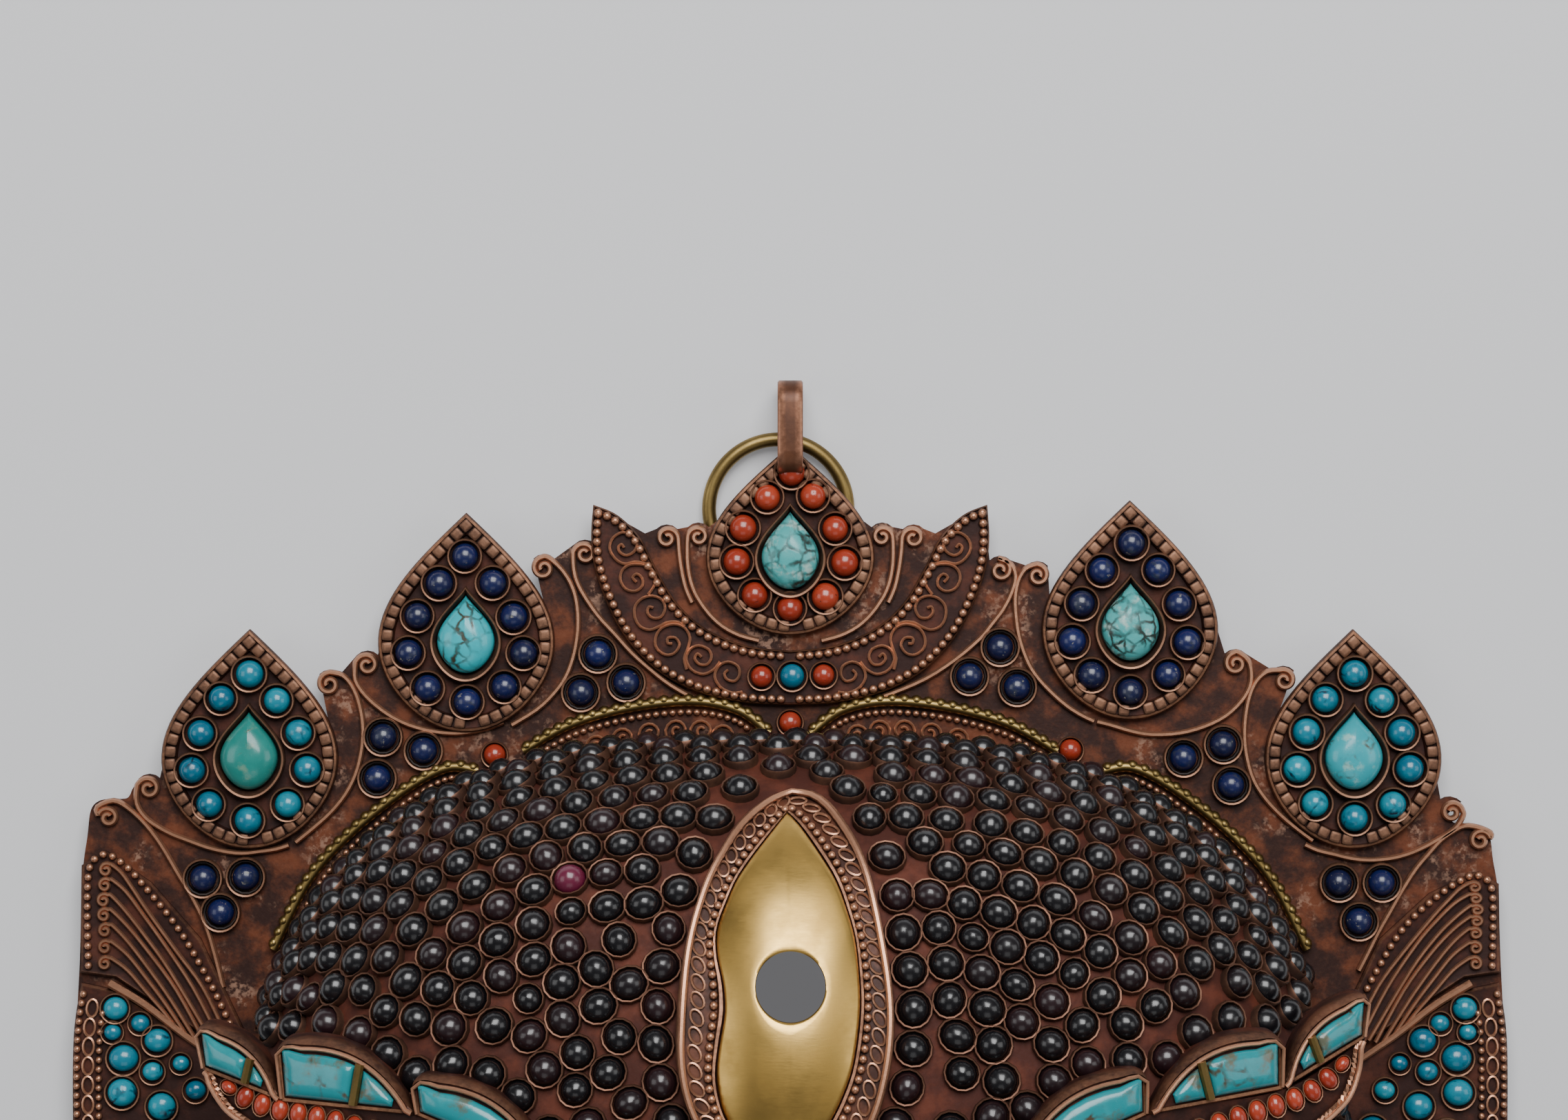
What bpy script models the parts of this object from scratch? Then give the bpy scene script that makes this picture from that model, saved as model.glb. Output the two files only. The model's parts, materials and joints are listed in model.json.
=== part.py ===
"""Ritual mask of copper sheet set with stones, lying on its back with the face up.

Metres, +Z out of the face, +Y towards the crown, +X to the viewer's right. The mask rests on the
rim of the face shell at z = 0, and the origin is under the middle of the whole mask. Heights along
the face are first counted from the crown datum, the middle of the central crown stone, and one
empty, mask_axes, carries every piece from there to the origin.
"""

import math

import bmesh
import bpy
from mathutils import Vector

MM = 0.001

# Sheet, fits and clearances
SHEET = 1.5 * MM
GAP = 0.9 * MM
STONE_GAP = 0.3 * MM
BED_GAP = 0.8 * MM
LEAST_BODY = 1.2 * MM

# Face shell: an outline that is square at the forehead and round at the jaw
FACE_HALF_WIDTH = 116 * MM
FOREHEAD_LENGTH = 126.5 * MM
JAW_LENGTH = 135 * MM
FOREHEAD_SQUARENESS = 3.0
JAW_SQUARENESS = 2.25
HAIRLINE_BELOW_DATUM = 38.5 * MM
COLLAR_HEIGHT = 8 * MM
DOME_HEIGHT = 57 * MM
FACE_SPOKES = 32
INNER_RINGS = 8
OUTER_RINGS = 5
RING_SPLIT = 0.72

# Nose, cheeks and mouth
NOSE_TOP = 35 * MM
NOSE_LENGTH = 84 * MM
NOSE_RISE = 31 * MM
NOSE_ROOT_HALF_WIDTH = 7.5 * MM
NOSE_BASE_HALF_WIDTH = 25 * MM
NOSE_RIDGE = 0.62
NOSTRIL_OFFSET = 14.5 * MM
NOSTRIL_RADIUS = 8.5 * MM
NOSTRIL_RISE = 13 * MM
NOSE_ROWS = 14
NOSE_COLUMNS = 9
CHEEK_OFFSET = 62 * MM
CHEEK_DROP = 50 * MM
CHEEK_RISE = 9 * MM
MOUTH_DROP = 84 * MM
MOUTH_HALF_WIDTH = 47 * MM
MOUTH_HALF_HEIGHT = 15 * MM
MOUTH_SMILE = 9 * MM
MOUTH_RIM = 3.5 * MM
LIP_WIDTH = 8 * MM
LIP_HEIGHT = 4.5 * MM
TOOTH_LENGTH = 8.5 * MM
TOOTH_ROOT = 3.2 * MM
TOOTH_COUNT = 8
FANG_EXTRA = 3 * MM
TOOTH_ROW = 0.62
TOOTH_HEIGHT = 3.2 * MM
CHIN_RISE = 8 * MM

# Eyes: a brass plate with a round pupil hole in a copper frame
EYE_LENGTH = 73 * MM
EYE_HALF_WIDTH = 14 * MM
EYE_WAVE = 2 * MM
EYE_SHIFT = 1.6 * MM
EYE_BULGE = 4.5 * MM
EYE_PLATE = 1.6 * MM
PUPIL_DIAMETER = 13.8 * MM
EYE_SOCKET_HOLE = 17 * MM
FRAME_WIDTH = 7 * MM
FRAME_TIP = 5 * MM
FRAME_HEIGHT = 2.6 * MM
EYE_FIT = 0.4 * MM
EYE_SIDES = 20
THIRD_EYE_RISE = 80.8 * MM
EYE_BELOW_MIDDLE = 1 * MM
EYE_OFFSET = 60 * MM
EYE_TURN = math.radians(75)

# Brows: flames that rise outwards and stand proud of the temples, about the middle of the face
BROW_TIPS = ((23, 40), (46, 53.5), (73.1, 63.8), (100.7, 69.7), (118.5, 75.2))
BROW_NOTCHES = ((21.5, 30.5), (44.5, 43.5), (72.9, 55.2), (100.5, 57.8))
BROW_BACK = ((117.2, 67), (116, 60.5), (111.5, 54.2), (101, 50), (72, 46.5), (44, 35), (25, 23.5), (15, 16))
BROW_ROOT = ((12, 21.5), (13, 28))
BROW_BULGE = 0.2
SLAB_FROM_EDGE = 3.2 * MM
SLAB_FROM_BAND = 1.1 * MM
BROW_FRONT = 76 * MM
BROW_FALL = 26 * MM
BROW_REACH = 117 * MM
BROW_THICKNESS = 12 * MM
INLAY_HEIGHT = 1.6 * MM

# Moustache and beard flames on the jaw, about the middle of the face
MOUSTACHE_TIPS = ((52, -25), (68, -34), (79, -47))
MOUSTACHE_NOTCHES = ((47, -39), (60, -47))
MOUSTACHE_BACK = ((70, -57), (52, -56), (34, -48), (27, -42))
BEARD_TIPS = ((94, -71), (80, -97), (58, -116), (32, -128))
BEARD_NOTCHES = ((79, -74), (63, -94), (42, -109))
BEARD_BACK = ((20, -125), (18, -116), (40, -102), (60, -82), (72, -61), (84, -57))
WHISKER_BULGE = 0.075
FLAME_BODY = 6 * MM

# Crown sheet
SHEET_LIFT = 4.8 * MM
CROWN_SHEET = 1.2 * MM
WING_HALF_WIDTH = 150.3 * MM
VALLEYS = ((24, 7.5), (48, 1.5), (97, -23), (139, -49.5))
WING_CORNER = (147, -52)
EAR_SPOKES = 2
SHEET_FIT = 0.5 * MM
SHEET_INSET = 1.5 * MM

# Crown leaves: centre x and tip height, from the viewer's left
LEAF_PLACES = ((-113.3, -14.5), (-67.9, 9.9), (0.0, 24.0), (71.2, 12.5), (118.0, -14.5))
CENTRE_LEAF = 2
LEAF_WIDTH = 37 * MM
LEAF_HEIGHT = 46 * MM
CENTRE_LEAF_WIDTH = 35.4 * MM
CENTRE_LEAF_HEIGHT = 39.8 * MM
LEAF_THICKNESS = 2.6 * MM
LEAF_SIDES = 24
LEAF_SHOULDER = 0.59
LEAF_SHARPNESS = 0.74
LEAF_ROUNDNESS = 0.5
DROP_BELOW_TIP = 0.52
DROP_WIDTH = 11.2 * MM
DROP_LENGTH = 16.1 * MM
DROP_HEIGHT = 4.2 * MM
DROP_SIDES = 14
BEADS_PER_LEAF = 10
BEAD_RING_WIDTH = 23.2 * MM
BEAD_RING_LENGTH = 29.4 * MM
BEAD_RING_SHIFT = 1.2 * MM
BEAD_DIAMETER = 7 * MM
BEAD_HEIGHT = 3.2 * MM
BEAD_SIDES = 6
BEAD_TAPER = 0.62
BEAD_ROOT = 0.6 * MM

# Crescent under the central leaf
CRESCENT_HALF_WIDTH = 42 * MM
CRESCENT_DEPTH = 31.5 * MM
CRESCENT_BAND = 11 * MM
CRESCENT_HORN = (41.3, 11.8)
CRESCENT_CENTRE = 1 * MM
CRESCENT_THICKNESS = 2.2 * MM
CRESCENT_STEPS = 13
CRESCENT_BEADS = ((-6.4, -24.2), (0.3, -24.0), (6.8, -24.2))
CRESCENT_BEAD_DIAMETER = 5.8 * MM

# Lapis trios and the hairline corals, as x, y and, for a trio, the turn of its first bead
LEFT_TRIOS = ((-119.1, -69, 26), (-83.5, -41.1, 8), (-40.6, -24.3, -14))
RIGHT_TRIOS = ((42.9, -23.8, 81), (88.2, -42.7, 58), (119.2, -71.1, 27))
TRIO_RADIUS = 5.2 * MM
TRIO_BEAD_DIAMETER = 7.8 * MM
CORALS = (-62.0, 0.0, 58.8)
CORAL_DIAMETER = 5.6 * MM
CORAL_OUTSIDE = 4.4 * MM

# Brass wires that arch over the hairline
ARCH_WIRE = 2.4 * MM
INNER_ARCH = ((4.3, -36.3), (10.5, -31.6), (20, -29.6), (33, -30.8), (46, -34.4), (56, -40.0))
OUTER_ARCH = ((65.6, -43.6), (72, -43.9), (81, -49.6), (94, -59.8), (103, -70.0), (109, -82))

# Wing fans and ear panels
FAN_LOWER_EDGE = ((148.3, -64), (148.3, -86.5), (141, -88), (116.5, -104))
FAN_UPPER_EDGE = ((114.4, -98), (124, -79), (134, -67.5), (143.5, -60.6))
FAN_THICKNESS = 1.6 * MM
EAR_THICKNESS = 2.0 * MM
EAR_TOP = ((148.6, -88.4), (141, -90), (117.6, -105.6))
EAR_UPPER_SIDE = ((150.3, -100), (150.3, -120), (149.5, -140))
EAR_LOWER_SIDE = ((146, -160), (139, -180), (128, -198), (116.5, -210))
EAR_SIDE = EAR_UPPER_SIDE + EAR_LOWER_SIDE
EAR_INNER_STEPS = 6
EAR_FIT = 2.2 * MM
STUD_DIAMETER = 6.2 * MM
STUD_PITCH = 8.6 * MM
STUD_SIDES = 5
STUD_BORDER = 7.4 * MM

# Hanging bail and ring at the tip of the central leaf
BAIL_WIDTH = 5.3 * MM
BAIL_HEIGHT = 19.6 * MM
BAIL_DEPTH = 14.4 * MM
BAIL_STRAP = 1.2 * MM
BAIL_TOP = 37.6 * MM
BAIL_ROUND = 4.8 * MM
BAIL_SLOT_FIT = 0.5 * MM
RING_WIRE = 2.8 * MM
RING_DIAMETER = 29.2 * MM
RING_CENTRE = (-2.5, 10.8)
RING_SIDES = 20

FACE_CENTRE_Y = -HAIRLINE_BELOW_DATUM - FOREHEAD_LENGTH
CHIN_Y = FACE_CENTRE_Y - JAW_LENGTH
MASK_SHIFT = -(BAIL_TOP + CHIN_Y) / 2
SHEET_TOP = SHEET_LIFT + CROWN_SHEET
PANEL_BASE = SHEET_TOP + STONE_GAP

COPPER = (0.28, 0.12, 0.075)
BRASS = (0.62, 0.46, 0.18)
TURQUOISE = (0.09, 0.50, 0.56)
SHELL_WHITE = (0.80, 0.76, 0.66)


def material(name, colour, roughness, metallic):
    """A Principled BSDF of one finish, made once."""
    found = bpy.data.materials.get(name)
    if found:
        return found
    made = bpy.data.materials.new(name)
    made.use_nodes = True
    shader = made.node_tree.nodes["Principled BSDF"]
    shader.inputs["Base Color"].default_value = (*colour, 1)
    shader.inputs["Roughness"].default_value = roughness
    shader.inputs["Metallic"].default_value = metallic
    return made


def copper():
    return material("aged copper", COPPER, 0.45, 1.0)


def brass():
    return material("polished brass", BRASS, 0.3, 1.0)


def turquoise():
    return material("turquoise", TURQUOISE, 0.3, 0.0)


def shell_white():
    return material("conch shell", SHELL_WHITE, 0.35, 0.0)


def millimetres(points):
    """Points written in millimetres, as metres."""
    return [(x * MM, y * MM) for x, y in points]


def on_face(points):
    """Points written in millimetres about the middle of the face, as metres about the datum."""
    return [(x * MM, FACE_CENTRE_Y + y * MM) for x, y in points]


def mirrored(points, side):
    """Points of the viewer's right side, on the side that is asked for (1 right, -1 left)."""
    return [(x * side, y) for x, y in points]


def smooth_step(low, high, value):
    """0 below low, 1 above high and a smooth rise between."""
    share = min(1.0, max(0.0, (value - low) / (high - low)))
    return share * share * (3 - 2 * share)


def bump(x, y, x_spread, y_spread):
    """A rounded hill of height 1."""
    return math.exp(-((x / x_spread) ** 2) - (y / y_spread) ** 2)


# The form of the face


def outline_radius(angle):
    """Distance from the middle of the face to its outline."""
    upper = math.sin(angle) >= 0
    length = FOREHEAD_LENGTH if upper else JAW_LENGTH
    power = FOREHEAD_SQUARENESS if upper else JAW_SQUARENESS
    across = abs(math.cos(angle)) / FACE_HALF_WIDTH
    along = abs(math.sin(angle)) / length
    return (across**power + along**power) ** (-1 / power)


def outline_point(angle, outside=0.0):
    """A point of the face outline, or one that lies outside it."""
    radius = outline_radius(angle) + outside
    return radius * math.cos(angle), FACE_CENTRE_Y + radius * math.sin(angle)


def outline_half_width(y, outside=0.0):
    """Half the width of the face at a height on it."""
    upper = y >= FACE_CENTRE_Y
    length = FOREHEAD_LENGTH if upper else JAW_LENGTH
    power = FOREHEAD_SQUARENESS if upper else JAW_SQUARENESS
    share = min(1.0, abs(y - FACE_CENTRE_Y) / length)
    return FACE_HALF_WIDTH * (1 - share**power) ** (1 / power) + outside


def mouth_reach(x, y):
    """0 at the middle of the mouth and 1 at its corners and edges."""
    line = FACE_CENTRE_Y - MOUTH_DROP + MOUTH_SMILE * (x / MOUTH_HALF_WIDTH) ** 2
    return math.hypot(x / MOUTH_HALF_WIDTH, (y - line) / MOUTH_HALF_HEIGHT)


def nose_half_width(share):
    """Half the width of the nose, from its root at 0 to its base at 1."""
    return NOSE_ROOT_HALF_WIDTH + (NOSE_BASE_HALF_WIDTH - NOSE_ROOT_HALF_WIDTH) * share**1.2


def nose_height(x, y):
    """Rise of the nose over the face: one ridge that ends in a round tip between two wings."""
    share = min(1.0, max(0.0, (FACE_CENTRE_Y + NOSE_TOP - y) / NOSE_LENGTH))
    ridge = NOSE_RISE * share**1.3 * (1 - smooth_step(0.86, 1.0, share))
    ridge *= math.exp(-(abs(x / (NOSE_RIDGE * nose_half_width(share))) ** 2.6))
    wing_y = FACE_CENTRE_Y + NOSE_TOP - 0.87 * NOSE_LENGTH
    wings = NOSTRIL_RISE * bump(abs(x) - NOSTRIL_OFFSET, y - wing_y, NOSTRIL_RADIUS, NOSTRIL_RADIUS)
    return LEAST_BODY + max(ridge, wings, 0.5 * (ridge + wings))


def face_height(x, y):
    """Height of the face's outer surface over the floor."""
    across, along = x, y - FACE_CENTRE_Y
    share = min(1.0, math.hypot(across, along) / outline_radius(math.atan2(along, across)))
    dome = math.sqrt(max(0.0, 1 - share**4))
    cheeks = CHEEK_RISE * bump(abs(x) - CHEEK_OFFSET, along + CHEEK_DROP, 27 * MM, 22 * MM)
    chin = CHIN_RISE * bump(x, along + JAW_LENGTH * 0.84, 24 * MM, 12 * MM)
    inside = smooth_step(0, 0.3, 1 - share)
    return COLLAR_HEIGHT + DOME_HEIGHT * dome + inside * (cheeks + chin)


def resting_height(x, y):
    """Height of a surface that rests on the face with an even gap, also where the face is steep."""
    step = 0.5 * MM
    slope_x = (face_height(x + step, y) - face_height(x - step, y)) / (2 * step)
    slope_y = (face_height(x, y + step) - face_height(x, y - step)) / (2 * step)
    return face_height(x, y) + GAP * math.sqrt(1 + slope_x**2 + slope_y**2)


def bedded_height(x, y):
    """Height of a surface that lies a little higher, over the hollows beside the nose and mouth."""
    return resting_height(x, y) + BED_GAP


def brow_surface(x, y):
    """Front of the brows, which falls back towards the temples."""
    return BROW_FRONT - BROW_FALL * (abs(x) / BROW_REACH) ** 2.2


def brow_back(x, y):
    """Back of the brows: on the face, and no deeper than their own thickness beyond it."""
    return max(resting_height(x, y), brow_surface(x, y) - BROW_THICKNESS)


# Builders


def object_of(name, mesh, finish, smooth=True):
    """An object on the mask's axes, with one finish."""
    made = bpy.data.objects.new(name, mesh)
    bpy.context.scene.collection.objects.link(made)
    made.parent = bpy.data.objects["mask_axes"]
    mesh.materials.append(finish)
    if smooth:
        mesh.shade_smooth()
        mesh.set_sharp_from_angle(angle=math.radians(40))
    return made


def mesh_of(name, vertices, faces):
    """A mesh whose faces are turned outwards."""
    made = bpy.data.meshes.new(name)
    made.from_pydata([tuple(v) for v in vertices], [], faces)
    sides = bmesh.new()
    sides.from_mesh(made)
    bmesh.ops.recalc_face_normals(sides, faces=sides.faces)
    sides.to_mesh(made)
    sides.free()
    return made


def prism_mesh(name, outline, low, high):
    """A flat plate of one outline."""
    count = len(outline)
    vertices = [(x, y, z) for z in (low, high) for x, y in outline]
    walls = [(i, (i + 1) % count, count + (i + 1) % count, count + i) for i in range(count)]
    return mesh_of(name, vertices, [tuple(range(count)), tuple(range(count, 2 * count)), *walls])


def grid_solid_mesh(name, rows, closed, lower, upper):
    """A plate over rows of plan points, between two heights that follow a function of the place.

    Each row runs across the plate. With closed set, the last row joins the first, as in a frame.
    """
    across = len(rows[0])
    points = [point for row in rows for point in row]
    layer = len(points)
    vertices = [(x, y, height(x, y)) for height in (lower, upper) for x, y in points]
    spans = [(i, (i + 1) % len(rows)) for i in range(len(rows) - (0 if closed else 1))]
    faces = []
    for here, there in spans:
        for step in range(across - 1):
            quad = [here * across + step, here * across + step + 1]
            quad += [there * across + step + 1, there * across + step]
            faces.append(tuple(quad))
            faces.append(tuple(layer + corner for corner in reversed(quad)))
        for edge in (0, across - 1):
            first, second = here * across + edge, there * across + edge
            faces.append((first, second, layer + second, layer + first))
    if not closed:
        for row in (0, len(rows) - 1):
            for step in range(across - 1):
                first = row * across + step
                faces.append((first, first + 1, layer + first + 1, layer + first))
    return mesh_of(name, vertices, faces)


def helper(name, mesh):
    """A cutter or other guide, left out of the part."""
    made = bpy.data.objects.new(name, mesh)
    bpy.context.scene.collection.objects.link(made)
    made.parent = bpy.data.objects["mask_axes"]
    made.hide_render = True
    made.display_type = "WIRE"
    return made


def add_boolean(target, other, operation):
    """A Boolean of the exact solver."""
    modifier = target.modifiers.new(operation.lower(), "BOOLEAN")
    modifier.operation = operation
    modifier.object = other
    return modifier


def draped_piece(name, outline, lower, upper, finish, cell=11 * MM):
    """A plate of any outline, whose two sides follow functions of the place."""
    xs, ys = [x for x, _ in outline], [y for _, y in outline]
    columns = math.ceil((max(xs) - min(xs)) / cell) + 2
    lines = math.ceil((max(ys) - min(ys)) / cell) + 2
    left, bottom = min(xs) - 0.7 * cell, min(ys) - 0.7 * cell
    across = (max(xs) + 0.7 * cell - left) / (columns - 1)
    along = (max(ys) + 0.7 * cell - bottom) / (lines - 1)
    rows = [[(left + i * across, bottom + j * along) for j in range(lines)] for i in range(columns)]

    def front(x, y):
        return max(upper(x, y), lower(x, y) + LEAST_BODY)

    made = object_of(name, grid_solid_mesh(name, rows, False, lower, front), finish)
    punch = helper(name + "_outline", prism_mesh(name + "_outline", outline, -0.05, 0.25))
    add_boolean(made, punch, "INTERSECT")
    return made


def teardrop(width, height, count, centre=(0.0, 0.0)):
    """A drop with its tip up, as points from the tip round, about the middle of its height."""
    bend = math.log(0.5) / math.log(LEAF_SHOULDER)
    points = []
    for step in range(count):
        turn = 2 * math.pi * step / count
        share = (1 - math.cos(turn)) / 2
        power = LEAF_SHARPNESS + (LEAF_ROUNDNESS - LEAF_SHARPNESS) * share
        reach = max(0.0, math.sin(math.pi * share**bend)) ** power
        side = -1 if turn < math.pi else 1
        points.append((centre[0] + side * width / 2 * reach, centre[1] + height / 2 * math.cos(turn)))
    return points


def evenly_along(path, count):
    """Points an equal distance apart along a closed path, from its first point."""
    legs = [math.dist(path[i], path[(i + 1) % len(path)]) for i in range(len(path))]
    spacing = sum(legs) / count
    found, leg, before = [], 0, 0.0
    for step in range(count):
        target = step * spacing
        while before + legs[leg] < target:
            before += legs[leg]
            leg += 1
        share = (target - before) / legs[leg]
        start, end = path[leg], path[(leg + 1) % len(path)]
        found.append((start[0] + share * (end[0] - start[0]), start[1] + share * (end[1] - start[1])))
    return found


def studs_mesh(name, places, diameter, sides, low, high):
    """Tapered studs for stones in their bezels."""
    vertices, faces = [], []
    for x, y in places:
        first = len(vertices)
        for z, share in ((low, 1.0), (high, BEAD_TAPER)):
            for step in range(sides):
                turn = 2 * math.pi * (step + 0.5) / sides
                radius = share * diameter / 2
                vertices.append((x + radius * math.cos(turn), y + radius * math.sin(turn), z))
        faces.append(tuple(first + i for i in range(sides)))
        faces.append(tuple(first + sides + i for i in range(sides)))
        for i in range(sides):
            j = (i + 1) % sides
            faces.append((first + i, first + j, first + sides + j, first + sides + i))
    return mesh_of(name, vertices, faces)


def add_studs(panel, places, diameter, sides, face_height_of_panel, height):
    """Studs joined to a panel's face."""
    low = face_height_of_panel - BEAD_ROOT
    mesh = studs_mesh(panel.name + "_studs", places, diameter, sides, low, face_height_of_panel + height)
    add_boolean(panel, helper(panel.name + "_studs", mesh), "UNION")


def wire(name, points, diameter, finish, sides=1, cyclic=False):
    """A round wire through a smooth run of points; sides is the curve's bevel resolution."""
    curve = bpy.data.curves.new(name, "CURVE")
    curve.dimensions = "3D"
    curve.bevel_depth = diameter / 2
    curve.bevel_resolution = sides
    curve.use_fill_caps = not cyclic
    spline = curve.splines.new("POLY")
    spline.points.add(len(points) - 1)
    for place, (x, y, z) in zip(spline.points, points):
        place.co = (x, y, z, 1)
    spline.use_cyclic_u = cyclic
    made = bpy.data.objects.new(name, curve)
    bpy.context.scene.collection.objects.link(made)
    made.parent = bpy.data.objects["mask_axes"]
    curve.materials.append(finish)
    return made


def smooth_run(points, per_span=3):
    """A smooth open curve through points, by Catmull-Rom spans."""
    padded = [points[0], *points, points[-1]]
    run = []
    for i in range(1, len(padded) - 2):
        before, start, end, after = (Vector(p) for p in padded[i - 1 : i + 3])
        for step in range(per_span):
            t = step / per_span
            place = 2 * start + (end - before) * t
            place += (2 * before - 5 * start + 4 * end - after) * t**2
            place += (3 * start - before - 3 * end + after) * t**3
            run.append(tuple(place / 2))
    return [*run, tuple(points[-1])]


# The face


def face_shell():
    """The hollow face of one sheet, open behind each pupil and at the mouth."""
    uniform = [RING_SPLIT * (i + 1) / INNER_RINGS for i in range(INNER_RINGS)]
    start = math.asin(RING_SPLIT**2)
    turns = [start + (math.pi / 2 - start) * (i + 1) / OUTER_RINGS for i in range(OUTER_RINGS)]
    shares = uniform + [math.sqrt(math.sin(turn)) for turn in turns]
    vertices = [(0.0, FACE_CENTRE_Y, face_height(0.0, FACE_CENTRE_Y))]
    for share in shares:
        for spoke in range(FACE_SPOKES):
            angle = 2 * math.pi * spoke / FACE_SPOKES
            x, y = outline_point(angle)
            x, y = x * share, FACE_CENTRE_Y + (y - FACE_CENTRE_Y) * share
            vertices.append((x, y, face_height(x, y)))
    for spoke in range(FACE_SPOKES):
        vertices.append((*outline_point(2 * math.pi * spoke / FACE_SPOKES), 0.0))
    faces = [(0, 1 + i, 1 + (i + 1) % FACE_SPOKES) for i in range(FACE_SPOKES)]
    for ring in range(len(shares)):
        first = 1 + ring * FACE_SPOKES
        for i in range(FACE_SPOKES):
            following = (i + 1) % FACE_SPOKES
            outer = first + FACE_SPOKES
            faces.append((first + i, outer + i, outer + following, first + following))
    mesh = bpy.data.meshes.new("face_shell")
    mesh.from_pydata(vertices, [], faces)
    shell = object_of("face_shell", mesh, copper())
    wall = shell.modifiers.new("sheet", "SOLIDIFY")
    wall.thickness = SHEET
    wall.offset = -1
    wall.use_even_offset = True
    for name, place, _, _ in eye_places():
        add_boolean(shell, hole_cutter(name + "_socket", place, EYE_SOCKET_HOLE), "DIFFERENCE")
    opening = helper("mouth_opening", prism_mesh("mouth_opening", lip_line(-MOUTH_RIM), 0.02, 0.15))
    add_boolean(shell, opening, "DIFFERENCE")


def hole_cutter(name, place, diameter):
    """A round cutter along Z through the face."""
    sides = 16
    ring = [2 * math.pi * (i + 0.5) / sides for i in range(sides)]
    radius = diameter / 2
    outline = [(place[0] + radius * math.cos(a), place[1] + radius * math.sin(a)) for a in ring]
    return helper(name, prism_mesh(name, outline, 0.02, 0.15))


def eye_places():
    """Each eye's name, pupil centre, turn of its long axis and side of its wavy lid."""
    return (
        ("third_eye", (0.0, FACE_CENTRE_Y + THIRD_EYE_RISE), 0.0, 1),
        ("left_eye", (-EYE_OFFSET, FACE_CENTRE_Y - EYE_BELOW_MIDDLE), EYE_TURN, 1),
        ("right_eye", (EYE_OFFSET, FACE_CENTRE_Y - EYE_BELOW_MIDDLE), -EYE_TURN, -1),
    )


def eye_outline(place, turn, wavy_side, sideways=0.0, endways=0.0):
    """The pointed outline of an eye, grown by sideways and endways, from its upper tip round."""
    points = []
    half_length = EYE_LENGTH / 2 + endways
    for step in range(EYE_SIDES):
        angle = 2 * math.pi * step / EYE_SIDES
        share = math.cos(angle)
        along = half_length * share
        across = math.copysign((EYE_HALF_WIDTH + sideways) * (1 - abs(share) ** 2.3), math.sin(angle))
        if across * wavy_side > 0:
            across -= wavy_side * EYE_WAVE * bump(along, 0, 6 * MM, 1)
        along -= EYE_SHIFT
        x = place[0] - across * math.cos(turn) - along * math.sin(turn)
        y = place[1] - across * math.sin(turn) + along * math.cos(turn)
        points.append((x, y))
    return points


def rows_between(inner, outer, steps):
    """Rows of points across a ring, from its inner outline to its outer one."""
    shares = [i / steps for i in range(steps + 1)]
    rows = []
    for a, b in zip(inner, outer):
        rows.append([(a[0] + (b[0] - a[0]) * s, a[1] + (b[1] - a[1]) * s) for s in shares])
    return rows


def eyes():
    """The three brass eyes, each in its copper frame."""
    for name, place, turn, wavy_side in eye_places():
        edge = eye_outline(place, turn, wavy_side)
        pupil = []
        for x, y in edge:
            angle = math.atan2(y - place[1], x - place[0])
            reach = PUPIL_DIAMETER / 2
            pupil.append((place[0] + reach * math.cos(angle), place[1] + reach * math.sin(angle)))

        def front(x, y, place=place, turn=turn):
            along = -(x - place[0]) * math.sin(turn) + (y - place[1]) * math.cos(turn)
            across = (x - place[0]) * math.cos(turn) + (y - place[1]) * math.sin(turn)
            reach = min(1.0, math.hypot(along / (EYE_LENGTH / 2), across / (EYE_HALF_WIDTH * 1.15)))
            return bedded_height(x, y) + EYE_PLATE + EYE_BULGE * (1 - reach**2)

        rows = rows_between(pupil, edge, 2)
        object_of(name, grid_solid_mesh(name, rows, True, bedded_height, front), brass())
        frame_name = name + "_frame"
        inner = eye_outline(place, turn, wavy_side, EYE_FIT, EYE_FIT)
        outer = eye_outline(place, turn, wavy_side, FRAME_WIDTH, FRAME_TIP)
        rim = grid_solid_mesh(
            frame_name,
            rows_between(inner, outer, 1),
            True,
            bedded_height,
            lambda x, y: bedded_height(x, y) + FRAME_HEIGHT,
        )
        object_of(frame_name, rim, copper())


def nose():
    """The nose, its back bedded on the face."""
    rows = []
    for row in range(NOSE_ROWS):
        share = row / (NOSE_ROWS - 1)
        half = nose_half_width(share) * (1 - 0.45 * smooth_step(0.88, 1.0, share))
        y = FACE_CENTRE_Y + NOSE_TOP - share * NOSE_LENGTH
        rows.append([(half * (2 * i / (NOSE_COLUMNS - 1) - 1), y) for i in range(NOSE_COLUMNS)])

    def front(x, y):
        return resting_height(x, y) + nose_height(x, y)

    object_of("nose", grid_solid_mesh("nose", rows, False, resting_height, front), copper())


def flame_edge(start, tip, bulge, share):
    """A point of a flame's bulging upper edge, in millimetres."""
    run_x, run_y = tip[0] - start[0], tip[1] - start[1]
    rise = 4 * share * (1 - share) * bulge
    return start[0] + share * run_x - rise * run_y, start[1] + share * run_y + rise * run_x


def flame_outline(tips, notches, back, side, bulge, root=()):
    """A row of flames: a long rounded edge up to each tip and a short drop to the next notch."""
    starts = [root[-1] if root else back[-1], *notches]
    points = list(root[:1])
    for start, tip in zip(starts, tips):
        points.append(start)
        points += [flame_edge(start, tip, bulge, share) for share in (0.3, 0.7)]
        points.append(tip)
    points += back[: len(back) if root else -1]
    return mirrored(on_face(points), side)


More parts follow.
